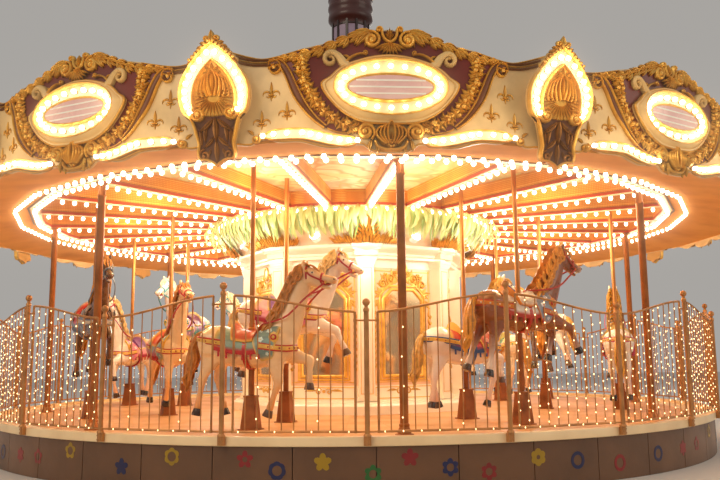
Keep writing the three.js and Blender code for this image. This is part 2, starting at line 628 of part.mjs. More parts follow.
function horses() {
  for (let i = 0; i < POLE_COUNT; i += 1) {
    const angle = HORSE_ANGLE + (360 / POLE_COUNT) * i;
    const even = i % 2 === 0;
    const low = (radius) => horse(STANDING, 0, radius, angle);
    const high = (radius) => horse(LEAPING, TRAVEL, radius, angle);
    add(`outer_horse_${i + 1}`, even ? low(OUTER_HORSES) : high(OUTER_HORSES), HORSE_PAINT);
    add(`inner_horse_${i + 1}`, even ? high(INNER_HORSES) : low(INNER_HORSES), HORSE_PAINT);
  }
}

plinth();
fence();
turntableFloor();
rimPoles();
drum();
canopy();
roundingBoards();
horses();

export default carousel;
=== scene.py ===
import math

import bpy
import numpy as np
from mathutils import Matrix, Vector


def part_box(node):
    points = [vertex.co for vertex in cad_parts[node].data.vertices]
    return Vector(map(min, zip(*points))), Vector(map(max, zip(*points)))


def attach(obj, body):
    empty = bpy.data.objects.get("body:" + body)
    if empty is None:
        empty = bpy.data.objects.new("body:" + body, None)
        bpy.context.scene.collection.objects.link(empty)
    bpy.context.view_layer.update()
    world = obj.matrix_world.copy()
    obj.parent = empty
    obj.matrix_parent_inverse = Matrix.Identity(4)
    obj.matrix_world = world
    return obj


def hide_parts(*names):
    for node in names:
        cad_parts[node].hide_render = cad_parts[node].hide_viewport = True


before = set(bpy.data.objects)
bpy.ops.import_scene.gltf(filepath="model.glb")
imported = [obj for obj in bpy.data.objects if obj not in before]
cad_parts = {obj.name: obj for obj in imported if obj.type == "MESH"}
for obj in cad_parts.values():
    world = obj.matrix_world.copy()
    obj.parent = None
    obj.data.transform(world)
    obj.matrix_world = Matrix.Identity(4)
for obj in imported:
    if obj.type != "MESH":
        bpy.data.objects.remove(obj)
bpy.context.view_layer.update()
scene = bpy.context.scene

# Camera: it stands a little left of the front at eye height and looks slightly up, so that the plinth and the
# crests of the boards fill the frame. Angles in degrees, for a sensor 36 mm wide.
CAMERA_SPOT = (-0.694, -11.679, 1.147)
CAMERA_HEADING = 3.96
CAMERA_PITCH = 8.5
CAMERA_ROLL = -0.55
CAMERA_LENS = 39.4
camera_data = bpy.data.cameras.new("camera")
camera_data.lens = CAMERA_LENS
camera = bpy.data.objects.new("camera", camera_data)
camera.matrix_world = (Matrix.Translation(CAMERA_SPOT)
                       @ Matrix.Rotation(math.radians(-CAMERA_HEADING), 4, "Z")
                       @ Matrix.Rotation(math.radians(90 + CAMERA_PITCH), 4, "X")
                       @ Matrix.Rotation(math.radians(CAMERA_ROLL), 4, "Z"))
scene.collection.objects.link(camera)
scene.camera = camera

# Plinth wall: brown painted steel sheets set on edge round the foot of the ride, bolted to a frame behind
# with a narrow joint between each two, with plain flower stickers on them.
SHEETS = 42
SHEET_START = -1.14
SHEET_JOINT = 0.008
SHEET_THICK, BACKING_THICK = 0.03, 0.009
STICKER_SIZE = 0.078
STICKER_THICK = 0.0015
WHITE = (1.0, 1.0, 1.0)
X_AXIS, Y_AXIS, Z_AXIS = np.eye(3)


def colour(code):
    """Linear red, green and blue from a six-digit web colour."""
    parts = np.array([int(code[i:i + 2], 16) for i in (0, 2, 4)]) / 255
    return tuple(np.where(parts <= 0.04045, parts / 12.92, ((parts + 0.055) / 1.055) ** 2.4))


def feed(tree, socket, value):
    """Links a socket to another, or gives it a value."""
    if isinstance(value, bpy.types.NodeSocket):
        tree.links.new(value, socket)
    else:
        socket.default_value = value


def node(tree, kind, inputs=None, **settings):
    """A shader node with its settings, its input values and its links."""
    made = tree.nodes.new(kind)
    for key, value in settings.items():
        setattr(made, key, value)
    for key, value in (inputs or {}).items():
        feed(tree, made.inputs[key], value)
    return made


def calc(tree, operation, first, second=0.5):
    """The value that a Math node puts out."""
    return node(tree, "ShaderNodeMath", {0: first, 1: second}, operation=operation).outputs[0]


def mixed(tree, factor, first, second, blend="MIX"):
    """The colour that a Mix node puts out. A colour is a web code or a link."""
    first, second = ((*colour(each), 1) if isinstance(each, str) else each for each in (first, second))
    return node(tree, "ShaderNodeMix", {0: factor, 6: first, 7: second}, data_type="RGBA",
                blend_type=blend).outputs[2]


def object_spot(tree):
    """The point on the surface, in the object's own frame."""
    return node(tree, "ShaderNodeTexCoord").outputs["Object"]


def noise(tree, spot, scale, detail, distortion=0.0):
    """A noise texture's value and colour."""
    inputs = {"Vector": spot, "Scale": scale, "Detail": detail, "Distortion": distortion}
    return node(tree, "ShaderNodeTexNoise", inputs).outputs


def spread(tree, value, low, high, to_low=0.0, to_high=1.0):
    """A value's place between low and high, carried over to the same place between two other numbers."""
    inputs = {"Value": value, "From Min": low, "From Max": high, "To Min": to_low, "To Max": to_high}
    return node(tree, "ShaderNodeMapRange", inputs).outputs[0]


def make_weathered():
    """Colour drifts towards grime where a slow noise is high, fine noise gives the coat its orange peel."""
    tree = bpy.data.node_groups.new("weathered_coat", "ShaderNodeTree")
    for side, labels in (("INPUT", "Colour Grime Amount Scale Roughness"),
                         ("OUTPUT", "Colour Roughness Height")):
        for label in labels.split():
            kind = "NodeSocketColor" if label in ("Colour", "Grime") else "NodeSocketFloat"
            tree.interface.new_socket(label, in_out=side, socket_type=kind)
    given, wanted = tree.nodes.new("NodeGroupInput").outputs, tree.nodes.new("NodeGroupOutput").inputs
    spot = object_spot(tree)
    slow = noise(tree, spot, given["Scale"], 5.0)[0]
    fine = noise(tree, spot, calc(tree, "MULTIPLY", given["Scale"], 22.0), 2.0)[0]
    share = calc(tree, "MULTIPLY", spread(tree, slow, 0.42, 0.72), given["Amount"])
    feed(tree, wanted["Colour"], mixed(tree, share, given["Colour"], given["Grime"]))
    feed(tree, wanted["Roughness"], calc(tree, "ADD", given["Roughness"], calc(tree, "MULTIPLY", share, 0.3)))
    feed(tree, wanted["Height"], fine)
    return tree


WEATHERED = make_weathered()


def coated(name, base, roughness, grime="3f3027", amount=0.3, scale=3.0, relief=0.02, metallic=0.0, coat=0.0):
    """A weathered coat of one colour, or of each face's own paint where base is None."""
    material = bpy.data.materials.new(name)
    material.use_nodes = True
    tree = material.node_tree
    if base is None:
        base = node(tree, "ShaderNodeAttribute", attribute_name="paint").outputs["Color"]
    else:
        base = (*colour(base), 1)
    group = node(tree, "ShaderNodeGroup", node_tree=WEATHERED)
    for label, value in (("Colour", base), ("Grime", (*colour(grime), 1)), ("Amount", amount),
                         ("Scale", scale), ("Roughness", roughness)):
        feed(tree, group.inputs[label], value)
    bump = node(tree, "ShaderNodeBump", {"Height": group.outputs["Height"], "Strength": relief * 10,
                                         "Distance": 0.004})
    for label, value in (("Base Color", group.outputs["Colour"]), ("Roughness", group.outputs["Roughness"]),
                         ("Normal", bump.outputs[0]), ("Metallic", metallic), ("Coat Weight", coat)):
        feed(tree, tree.nodes["Principled BSDF"].inputs[label], value)
    return material


def grid(rows, columns, rows_close=False, columns_close=True):
    """Triangles between neighbouring points of a grid stored row by row."""
    r = np.arange(rows if rows_close else rows - 1)[:, None]
    c = np.arange(columns if columns_close else columns - 1)[None, :]
    here, right = r * columns + c, r * columns + (c + 1) % columns
    over, beyond = (r + 1) % rows * columns + c, (r + 1) % rows * columns + (c + 1) % columns
    return np.concatenate([np.stack([here, right, beyond], -1).reshape(-1, 3),
                           np.stack([here, beyond, over], -1).reshape(-1, 3)])


def closed(points, faces, paint=WHITE):
    """A closed surface with its faces turned outwards: the sum of the volumes under them is made positive."""
    corner = (points - points.mean(0))[faces]
    volume = np.einsum("ij,ij->", corner[:, 0], np.cross(corner[:, 1], corner[:, 2]))
    return points, faces if volume > 0 else faces[:, ::-1], paint


def skin(rings, loop=False, tips=None, paint=WHITE):
    """A closed surface over rings of points. Unless the rings loop, a fan closes each end, to its tip or else
    to the middle of its ring."""
    rings = np.asarray(rings, float)
    rows, count = rings.shape[:2]
    body = rings.reshape(-1, 3)
    faces = grid(rows, count, loop)
    if loop:
        return closed(body, faces, paint)
    tips = rings[[0, -1]].mean(1) if tips is None else tips
    here = np.arange(count)
    beyond = (here + 1) % count
    last = (rows - 1) * count
    fans = [np.stack([np.full(count, rows * count), beyond, here], 1),
            np.stack([np.full(count, rows * count + 1), last + here, last + beyond], 1)]
    return closed(np.concatenate([body, tips]), np.concatenate([faces, *fans]), paint)


def level(plan, height=0.0):
    """The points of a plan or a drawing with their height as a third number."""
    plan = np.asarray(plan, float)
    return np.column_stack([plan, np.broadcast_to(height, len(plan))])


def unit(vectors):
    """Rows of vectors, each divided by its length."""
    return vectors / np.maximum(np.linalg.norm(vectors, axis=-1, keepdims=True), 1e-9)


def swept(path, section, across, up, sizes=1.0, loop=False, paint=WHITE):
    """A closed section (u, v) carried along a path: path + size * (u * across + v * up)."""
    path = np.asarray(path, float)
    rows = len(path)
    axes = np.stack([np.broadcast_to(across, (rows, 3)), np.broadcast_to(up, (rows, 3))], 1)
    spread_out = np.einsum("cu,ru,rux->rcx", np.asarray(section, float), np.broadcast_to(sizes, (rows, 2)),
                           axes)
    return skin(path[:, None] + spread_out, loop, paint=paint)


def plate(outer, thick, inner=None, paint=WHITE):
    """A flat plate from height 0 to thick, whole or as a band between two outlines with as many points
    each."""
    rings = [level(outer), level(outer, thick)]
    if inner is None:
        return skin(rings, paint=paint)
    return skin([level(inner), *rings, level(inner, thick)], loop=True, paint=paint)


def at_front(shape, radius, height=0.0):
    """A shape drawn in x, y and a height outwards, stood up at the front at a radius."""
    points, faces, paint = shape
    x, y, out = points.T
    return closed(np.column_stack([x, -radius - out, height + y]), faces, paint)


def repeats(shape, spots):
    """One shape from a shape's points in many places, given as places by points by 3."""
    _, faces, paint = shape
    steps = (np.arange(len(spots)) * spots.shape[1])[:, None, None]
    if np.ndim(paint) == 2:
        paint = np.tile(paint, (len(spots), 1))
    return spots.reshape(-1, 3), (faces[None] + steps).reshape(-1, 3), paint


def around(shape, angles):
    """The shape turned about the mast's axis to each angle, as one shape."""
    turn = np.radians(np.atleast_1d(angles))[:, None]
    x, y, z = shape[0].T
    return repeats(shape, np.stack([np.cos(turn) * x - np.sin(turn) * y, np.sin(turn) * x + np.cos(turn) * y,
                                    z + 0 * turn], -1))


def all_around(shapes, angles):
    """Each of the shapes turned to each angle."""
    return [around(shape, angles) for shape in shapes]


def polar(radius, angles, height=0.0):
    """Points at a radius and at angles from the front towards the right, as rows of x, y and z."""
    radius, turn, height = np.broadcast_arrays(radius, np.radians(angles), height)
    return np.stack([radius * np.sin(turn), -radius * np.cos(turn), height], -1)


def arc_bar(section, start, end, step=2.0, paint=WHITE):
    """A section (radius, height) carried round the mast from one angle to another, or all the way round."""
    full = end - start >= 360
    count = int(round((end - start) / step)) + (0 if full else 1)
    angles = np.linspace(start, end, count, endpoint=not full)
    return swept(np.zeros((count, 3)), section, polar(1.0, angles), Z_AXIS, loop=full, paint=paint)


def ring_bar(section, step, start=0.0, paint=WHITE):
    """A section (radius, height) carried all the way round the mast, in steps from an angle."""
    return arc_bar(section, start, start + 360, step, paint)


def joined(shapes):
    """All the points of some shapes, and all their faces."""
    starts = np.cumsum([0] + [len(points) for points, _, _ in shapes])
    faces = [shape[1] + start for shape, start in zip(shapes, starts)]
    return np.concatenate([shape[0] for shape in shapes]), np.concatenate(faces).astype(np.int32)


def piece(name, shapes, material, slot, body="turntable", crease=38.0, replaces=()):
    """One object made of closed shapes, with each shape's paint as a colour attribute. It rides on a body."""
    points, faces = joined(shapes)
    mesh = bpy.data.meshes.new(name)
    mesh.vertices.add(len(points))
    mesh.vertices.foreach_set("co", points.ravel())
    mesh.loops.add(faces.size)
    mesh.loops.foreach_set("vertex_index", faces.ravel())
    mesh.polygons.add(len(faces))
    mesh.polygons.foreach_set("loop_start", np.arange(0, faces.size, 3))
    mesh.polygons.foreach_set("use_smooth", np.ones(len(faces), bool))
    mesh.update(calc_edges=True)
    mesh.set_sharp_from_angle(angle=math.radians(crease))
    paints = np.concatenate([np.broadcast_to(paint, (len(spots), 3)) for spots, _, paint in shapes])
    layer = mesh.attributes.new("paint", "FLOAT_COLOR", "POINT")
    layer.data.foreach_set("color", level(paints, 1.0).ravel())
    mesh.materials.append(material)
    made = bpy.data.objects.new(name, mesh)
    scene.collection.objects.link(made)
    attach(made, body)
    if replaces:
        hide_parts(*replaces)


def rectangle(low_u, high_u, low_v, high_v):
    """A rectangle as a closed section. From radius 0 it is also the profile of a cylinder."""
    return np.array([(low_u, low_v), (high_u, low_v), (high_u, high_v), (low_u, high_v)])


def chamfered(low_u, high_u, low_v, high_v, cut):
    """A rectangle with its four corners cut, as a closed section."""
    return [(low_u + cut, low_v), (high_u - cut, low_v), (high_u, low_v + cut), (high_u, high_v - cut),
            (high_u - cut, high_v), (low_u + cut, high_v), (low_u, high_v - cut), (low_u, low_v + cut)]


def ring_plan(sides):
    """Unit points round a circle."""
    turn = 2 * np.pi * np.arange(sides) / sides
    return np.column_stack([np.cos(turn), np.sin(turn)])


def flower(petals, depth, size, hole, paint):
    """An outline of round petals, with a hole in its middle: the radius is the size less twice a depth times
    one minus the absolute cosine of half the petals' angle."""
    ring = ring_plan(6 * max(petals, 4))[:, ::-1]
    turn = np.linspace(0, 2 * np.pi, len(ring), endpoint=False)
    rim = size * (1 - 2 * depth * (1 - np.abs(np.cos(petals * turn / 2))))
    return plate(ring * rim[:, None], STICKER_THICK, ring * hole * size if hole else None, paint)


plinth_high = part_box("plinth_wall")[1]
plinth_radius = plinth_high.x
sheet_paint = coated("plinth_sheet", "714c30", 0.4, "3f2918", 0.6, 1.3, 0.02, coat=0.25)
sheet_step = 360 / SHEETS
joint = math.degrees(SHEET_JOINT / plinth_radius) / 2
sheet_back = plinth_radius - SHEET_THICK
sheet = arc_bar(chamfered(sheet_back, plinth_radius, 0.0, plinth_high.z, 0.004), joint, sheet_step - joint,
                1.2)
backing = ring_bar(chamfered(sheet_back - 0.001 - BACKING_THICK, sheet_back - 0.001, 0.0, plinth_high.z,
                             0.001), 2.5)
piece("plinth_sheets", [around(sheet, SHEET_START + sheet_step * np.arange(SHEETS)), backing], sheet_paint,
      "plinth_sheet", "base", replaces=["plinth_wall"])

STICKER_RED, STICKER_BLUE, STICKER_GREEN, STICKER_YELLOW = map(
    colour, ("8c2222", "20244f", "2a6a2e", "a88418"))
# Each sticker: angle from the front, height, petals, depth of the petals, hole, colour
STICKERS = [(-44.1, 0.21, 5, 0.16, 0.5, STICKER_RED), (-37.6, 0.3, 5, 0.16, 0.5, STICKER_YELLOW),
            (-29.5, 0.19, 5, 0.22, 0.0, STICKER_BLUE), (-23.0, 0.3, 6, 0.1, 0.55, STICKER_YELLOW),
            (-14.7, 0.29, 5, 0.25, 0.3, STICKER_RED), (-11.3, 0.2, 7, 0.05, 0.55, STICKER_BLUE),
            (-6.6, 0.27, 5, 0.2, 0.0, STICKER_YELLOW), (-1.5, 0.17, 6, 0.15, 0.45, STICKER_GREEN),
            (2.3, 0.3, 5, 0.22, 0.0, STICKER_RED), (6.5, 0.21, 6, 0.15, 0.42, STICKER_BLUE),
            (10.7, 0.16, 6, 0.17, 0.42, STICKER_RED), (16.5, 0.26, 6, 0.1, 0.25, STICKER_YELLOW),
            (21.6, 0.21, 1, 0.0, 0.6, STICKER_BLUE), (27.9, 0.15, 1, 0.0, 0.6, STICKER_RED),
            (35.1, 0.19, 1, 0.0, 0.6, STICKER_BLUE), (41.3, 0.2, 6, 0.18, 0.0, STICKER_RED)]
STICKER_REPEAT = 90 * np.arange(4)
stickers = [around(at_front(flower(petals, depth, STICKER_SIZE, hole, paint), plinth_radius + 0.0002, height),
                   angle + STICKER_REPEAT) for angle, height, petals, depth, hole, paint in STICKERS]
piece("plinth_stickers", stickers, coated("sticker_print", None, 0.35, amount=0.25, scale=6.0),
      "plinth_sheet", "base")

# Walkway and kerb: a fixed ring of folded sheet painted cream, level with the turning floor, with an upstand
# along its outer edge that carries the fence.
DECK_TOP = 0.44
KERB_WIDTH = 0.08
WALK_EDGE = 0.006
WALK_INNER = 4.475
walk_low, walk_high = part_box("rim_walk")
kerb_radius = walk_high.x
kerb_back = kerb_radius - KERB_WIDTH
cream_paint = coated("cream_paint", "fcdcaa", 0.35, "c89a62", 0.35, 2.2, 0.015, coat=0.2)
walk_section = [(WALK_INNER, walk_low.z), (kerb_radius - WALK_EDGE, walk_low.z),
                (kerb_radius, walk_low.z + WALK_EDGE), (kerb_radius, walk_high.z - 0.012),
                (kerb_radius - 0.004, walk_high.z - 0.003), (kerb_radius - 0.012, walk_high.z),
                (kerb_back + 0.012, walk_high.z), (kerb_back + 0.003, walk_high.z - 0.004),
                (kerb_back, DECK_TOP + 0.008), (kerb_back - 0.008, DECK_TOP), (WALK_INNER + 0.004, DECK_TOP),
                (WALK_INNER, DECK_TOP - 0.004)]
piece("walkway_ring", [ring_bar(walk_section, 1.875)], cream_paint, "cream_paint", "base",
      replaces=["rim_walk"])

# Fence: 24 straight panels of thin bars under a waved top rail, hung between tube posts with ball tops that
# are low and high in turn. The posts stand on feet bolted to the face of the kerb. All of it is bronzed
# steel.
FENCE_RADIUS = 4.857
FENCE_START = -2.05
FENCE_BAYS = 24
FENCE_GAP = 0.1
BAY_BARS = 9
BAR_RADIUS, STILE_RADIUS, TIE_RADIUS = 0.0055, 0.011, 0.008
LOW_RAIL_Z = DECK_TOP + 0.086
WAVE_LOW, WAVE_HIGH = DECK_TOP + 1.1, DECK_TOP + 1.265
WAVE_STEPS = 15
POST_RADIUS = 0.022
BALL_RADIUS = 0.034
POST_TOPS = (DECK_TOP + 1.15, DECK_TOP + 1.315)
FOOT_Z = DECK_TOP - 0.03
FOOT_HALF, FOOT_REACH = 0.032, 0.012


def square_plan(cut=0.12):
    """A unit square with its corners cut."""
    return np.array(chamfered(-1, 1, -1, 1, cut))


def turned(profile, plan, paint=WHITE):
    """A profile (radius, height) carried round a plan: plan * radius, at that height. A profile that starts
    and ends on the axis has a pole at each end, any other is a closed ring."""
    poles = profile[0][0] == 0
    rings = [level(plan * radius, height) for radius, height in (profile[1:-1] if poles else profile)]
    return skin(rings, not poles, [(0, 0, profile[0][1]), (0, 0, profile[-1][1])], paint)


def moved(shape, shift):
    """The shape carried by a shift."""
    return shape[0] + np.asarray(shift, float), shape[1], shape[2]


def copies(shape, spots, scale=1.0):
    """The shape copied to each spot, stretched by a scale or by each copy's own scales along x, y and z."""
    spots = np.asarray(spots, float)
    return repeats(shape, shape[0][None] * np.broadcast_to(scale, spots.shape)[:, None] + spots[:, None])


def rod(start, end, radius, sides=6, paint=WHITE):
    """A straight round bar between two points."""
    along = unit(np.subtract(end, start))
    side = unit(np.cross(along, X_AXIS if abs(along[0]) < 0.8 else Y_AXIS))
    return swept([start, end], ring_plan(sides) * radius, side, np.cross(along, side), paint=paint)


def dress(name, material):
    """Gives a solid of the frame its finish."""
    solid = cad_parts[name]
    solid.data.materials.clear()
    solid.data.materials.append(material)


bronze = coated("bronzed_steel", "c58a52", 0.36, "6b4526", 0.5, 7.0, 0.01, metallic=0.45)
bay_length = 2 * FENCE_RADIUS * math.sin(math.pi / FENCE_BAYS)
bay_radius = FENCE_RADIUS * math.cos(math.pi / FENCE_BAYS)
uprights = np.linspace(FENCE_GAP - bay_length / 2, bay_length / 2 - FENCE_GAP, BAY_BARS + 2)


def on_bay(x, z, out=0.0):
    """Points on the front bay of the fence."""
    x, out, z = np.broadcast_arrays(x, -bay_radius - out, z)
    return np.stack([x, out, z], -1)


def wave_height(x, rising):
    """Half a cosine wave from the low to the high post."""
    share = x / bay_length + 0.5
    share = share if rising else 1 - share
    return WAVE_LOW + (WAVE_HIGH - WAVE_LOW) * (1 - np.cos(np.pi * share)) / 2


def fence_panel(rising):
    """Bars from the bottom rail to the wave, a stile at each end, two rails and four ties to the posts."""
    thick = np.full(len(uprights), BAR_RADIUS)
    thick[[0, -1]] = STILE_RADIUS
    bars = copies(turned(rectangle(0, 1, 0, 1), ring_plan(6)), on_bay(uprights, LOW_RAIL_Z),
                  np.column_stack([thick, thick, wave_height(uprights, rising) - LOW_RAIL_Z]))
    x = np.linspace(uprights[0], uprights[-1], WAVE_STEPS)
    top = swept(on_bay(x, wave_height(x, rising)), ring_plan(8) * STILE_RADIUS, Y_AXIS, Z_AXIS)
    shapes = [bars, top, rod(*on_bay(uprights[[0, -1]], LOW_RAIL_Z), STILE_RADIUS, 8)]
    for side, end in ((-1, uprights[0]), (1, uprights[-1])):
        for z in (LOW_RAIL_Z, wave_height(end, rising) - 0.075):
            shapes.append(rod(on_bay(end, z), on_bay(side * bay_length / 2, z, -0.002), TIE_RADIUS, 6))
            shapes.append(moved(turned(rectangle(0, 0.014, -0.012, 0.012), ring_plan(8)), on_bay(end, z)))
    return shapes


bay_angles = FENCE_START + 15 * (np.arange(FENCE_BAYS) + 0.5)
post_angles = FENCE_START + 15 * np.arange(FENCE_BAYS)
piece("fence_panels",
      all_around(fence_panel(True), bay_angles[::2]) + all_around(fence_panel(False), bay_angles[1::2]),
      bronze, "brass_rail", "base", replaces=[f"fence_{i + 1}" for i in range(6)])

posts = []
for order, top in enumerate(POST_TOPS):
    ball = [(BALL_RADIUS * math.cos(a), top + BALL_RADIUS * (1 + math.sin(a)))
            for a in np.radians([-60, -35, -10, 15, 40, 65])]
    tube = [(0, FOOT_Z), (POST_RADIUS, FOOT_Z), (POST_RADIUS, top - 0.05), (0.027, top - 0.045),
            (0.027, top - 0.025), (0.016, top - 0.01), *ball, (0, top + 2 * BALL_RADIUS)]
    collar = np.array([(0, 0.046), (0.034, 0.046), (0.034, 0.058), (0.026, 0.07), (0, 0.07)]) + (0, DECK_TOP)
    posts += [around(moved(turned(profile, ring_plan(14)), (0, -FENCE_RADIUS, 0)), post_angles[order::2])
              for profile in (tube, collar)]
foot = swept([(0, 0, FOOT_Z), (0, 0, DECK_TOP + 0.0447)],
             chamfered(-FOOT_HALF, FOOT_HALF, -FENCE_RADIUS - FOOT_REACH, -kerb_radius - 0.0004, 0.004),
             X_AXIS, Y_AXIS)
bolts = copies(rod((0, 0, 0), (0, -0.008, 0), 0.009, 6),
               [(x, -FENCE_RADIUS - FOOT_REACH, z)
                for x in (-0.018, 0.018) for z in (FOOT_Z + 0.018, DECK_TOP + 0.026)])
piece("fence_posts", posts + all_around([foot, bolts], post_angles), bronze, "brass_rail", "base")

# Strings of small warm lamps tied to the fence: close together on the bars of most bays, and only along the
# bottom rail and on a few bars of the three bays at the entrance.
LAMP_STEP, RAIL_LAMP_STEP = 0.088, 0.16
ENTRANCE = (-32.0, 20.0)


def glowing(name, tint, strength):
    """Frosted glass that gives off its own light. Its light isn't sampled, because lamps beside it stand
    in."""
    material = bpy.data.materials.new(name)
    material.use_nodes = True
    for label, value in (("Base Color", (*tint, 1)), ("Roughness", 0.3), ("Emission Color", (*tint, 1)),
                         ("Emission Strength", strength)):
        material.node_tree.nodes["Principled BSDF"].inputs[label].default_value = value
    material.cycles.emission_sampling = "NONE"
    return material


lamp_drop = turned([(0, -0.01), (0.0068, 0.0), (0, 0.01)], ring_plan(4))
draw = np.random.default_rng(5)
spots = []
for bay, angle in enumerate(bay_angles):
    sparse = ENTRANCE[0] < (angle + 180) % 360 - 180 < ENTRANCE[1]
    local = [on_bay(np.arange(uprights[0] + 0.05, uprights[-1], RAIL_LAMP_STEP), LOW_RAIL_Z, 0.012)]
    for order, x in enumerate(uprights):
        if sparse and order % 5 != 2:
            continue
        top = wave_height(x, bay % 2 == 0)
        z = np.arange(LOW_RAIL_Z + 0.04 + 0.03 * (order % 3), top - 0.02, LAMP_STEP * (3 if sparse else 1))
        z = z + draw.uniform(-0.02, 0.02, len(z))
        local.append(on_bay(x + np.where(np.arange(len(z)) % 2, 0.007, -0.007), z, 0.007))
    spots.append(around((np.concatenate(local), np.zeros((0, 3), int), WHITE), angle)[0])
piece("fence_string_lamps", [copies(lamp_drop, np.concatenate(spots))],
      glowing("string_lamp_glass", (1.0, 0.74, 0.38), 3.0), "bulb_glass", "base")

# Ground frame with the mast, and the star frame that turns on it under the floor: rolled steel under dark
# primer.
primer = coated("dark_primer", "35302b", 0.6, "5a3320", 0.5, 4.0, 0.03, metallic=0.4)
dress("ground_frame_and_mast", primer)
dress("turntable_frame", primer)

# Turning floor: painted radial planks in eight sections, with a square slot round each horse's pole.
HORSES_AROUND = 8
POLE_ANGLE = 2.8
HORSE_ANGLE = POLE_ANGLE - 22.5
HORSE_RADII = (2.73, 3.7)
PLANKS = 48
DECK_RADIUS = 4.452
DECK_INNER = 0.7
DECK_THICK = 0.05
PLANK_JOINT = 0.003
SLOT = 0.036
eighths = 45 * np.arange(HORSES_AROUND)


def plank(side):
    """One tapered plank, from its slotted edge at the horses' line to the next joint. side is -1, 1 or 0."""
    lines = np.array(HORSE_RADII if side else ()) * math.cos(math.pi / PLANKS)
    cuts = [line + off for line in lines for off in (-SLOT, -SLOT + 0.0002, SLOT - 0.0002, SLOT)]
    r = np.array(sorted([DECK_INNER, DECK_RADIUS, *cuts]))
    slotted = np.abs(r[:, None] - lines).min(1, initial=SLOT) < SLOT - 0.0001
    half = r * math.tan(math.pi / PLANKS) - PLANK_JOINT / 2
    cut = np.where(slotted, SLOT - PLANK_JOINT / 2, 0)
    left, right = -half + cut * (side > 0), half - cut * (side < 0)
    corners = [(left, DECK_TOP - DECK_THICK), (right, DECK_TOP - DECK_THICK), (right, DECK_TOP),
               (left, DECK_TOP)]
    return skin(np.stack([np.column_stack([x, -r, np.full(len(r), z)]) for x, z in corners], 1))


plank_step = 360 / PLANKS
first_plank = HORSE_ANGLE + plank_step / 2 + eighths
deck = [around(plank(1), first_plank), around(plank(-1), first_plank - plank_step)]
deck += [around(plank(0), first_plank + order * plank_step) for order in (1, 2, 3, 4)]
piece("turning_floor", deck, coated("deck_boards", "e8ad74", 0.45, "b97a48", 0.5, 1.7, 0.04, coat=0.1),
      "floor_board", replaces=[f"floor_section_{i + 1}" for i in range(HORSES_AROUND)])

# Pedestals: a square tapered box of dark bronzed sheet on a foot plate under each horse, open in the middle
# for the sliding pole.
PEDESTAL_FOOT, PEDESTAL_TOP, PEDESTAL_HEIGHT = 0.085, 0.056, 0.34
POLE_SLEEVE = 0.034
dark_bronze = coated("dark_bronze", "a25e2e", 0.42, "351b0b", 0.5, 6.0, 0.01, metallic=0.45)
box = [(PEDESTAL_FOOT, 0.012), (PEDESTAL_TOP, PEDESTAL_HEIGHT - 0.012),
       (POLE_SLEEVE, PEDESTAL_HEIGHT - 0.012), (POLE_SLEEVE, 0.012)]
foot_plate = [(0.104, 0.0), (0.104, 0.008), (0.098, 0.0125), (SLOT, 0.0125), (SLOT, 0.0)]
cap = np.array([(0.063, -0.016), (0.063, -0.003), (0.059, 0), (POLE_SLEEVE, 0), (POLE_SLEEVE, -0.016)])
pedestal = [turned(box, square_plan(0.08)), turned(foot_plate, square_plan(0.06)),
            turned(cap + (0, PEDESTAL_HEIGHT), square_plan(0.08))]
pedestals = [around(moved(shape, (0, -radius, DECK_TOP)), HORSE_ANGLE + eighths)
             for shape in pedestal for radius in HORSE_RADII]
piece("pole_pedestals", pedestals, dark_bronze, "pole_bronze", crease=30)

# Rim poles: round tubes from the floor to the sweeps with a flared foot, a flange and two collars.
RIM_RADIUS = 4.3
rim_low, rim_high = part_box("rim_pole_1")
red_bronze = coated("red_bronze", "b4703a", 0.3, "46220f", 0.45, 5.0, 0.008, metallic=0.55)
pole_foot = np.array([(0, 0), (0.088, 0), (0.088, 0.01), (0.066, 0.016), (0.058, 0.05), (0.046, 0.075),
                      (0.05, 0.085), (0.05, 0.098), (0.0405, 0.108)]) + (0, rim_low.z)
pole_head = np.array([(0.0405, -0.16), (0.048, -0.15), (0.048, -0.135), (0.0405, -0.125), (0.0405, -0.03),
                      (0.062, -0.012), (0.062, 0), (0, 0)]) + (0, rim_high.z)
rim_pole = moved(turned([*pole_foot, *pole_head], ring_plan(20)), (0, -RIM_RADIUS, 0))
piece("rim_poles", [around(rim_pole, POLE_ANGLE + eighths)], red_bronze, "pole_bronze", crease=40,
      replaces=[f"rim_pole_{i + 1}" for i in range(HORSES_AROUND)])

# Drum: eight flat painted panels round the machinery, each a salmon field in a gold fillet with rosettes in
# its corners, over a cream dado.
DRUM_SIDES = 8
DRUM_BACK, DRUM_FACE = 1.412, 1.472
DRUM_FLAT = DRUM_FACE * math.cos(math.pi / DRUM_SIDES)
PANEL_HALF = 0.455
MIRROR_HALF = 0.3
MIRROR_LOW, MIRROR_TOP, MIRROR_CUT = DECK_TOP + 0.47, DECK_TOP + 1.6, 0.13
FIELD_LOW, FIELD_TOP = DECK_TOP + 0.36, DECK_TOP + 1.87
DADO_LOW, FRIEZE_TOP = DECK_TOP + 0.164, DECK_TOP + 1.992
SHARP = 0.001
wall_angles = POLE_ANGLE + 22.5 + eighths
corner_angles = POLE_ANGLE + eighths
CREAM, SALMON, PINK_CREAM, PANEL_CREAM = map(colour, ("fff6e0", "f3c8a2", "f9dcc0", "fdf3dc"))
painted_panel = coated("drum_panel_paint", None, 0.38, "d39b70", 0.25, 2.5, 0.01, coat=0.25)
white_gloss = coated("drum_white_gloss", None, 0.3, "e2c79c", 0.22, 3.0, 0.008, coat=0.3)


def slab(x0, x1, z0, z1, back, front, cut=0.004, paint=WHITE):
    """An upright slab at the front, between two radii, with its long edges cut."""
    return swept([(0, 0, z0), (0, 0, z1)], chamfered(x0, x1, back, front, cut), X_AXIS, -Y_AXIS, paint=paint)


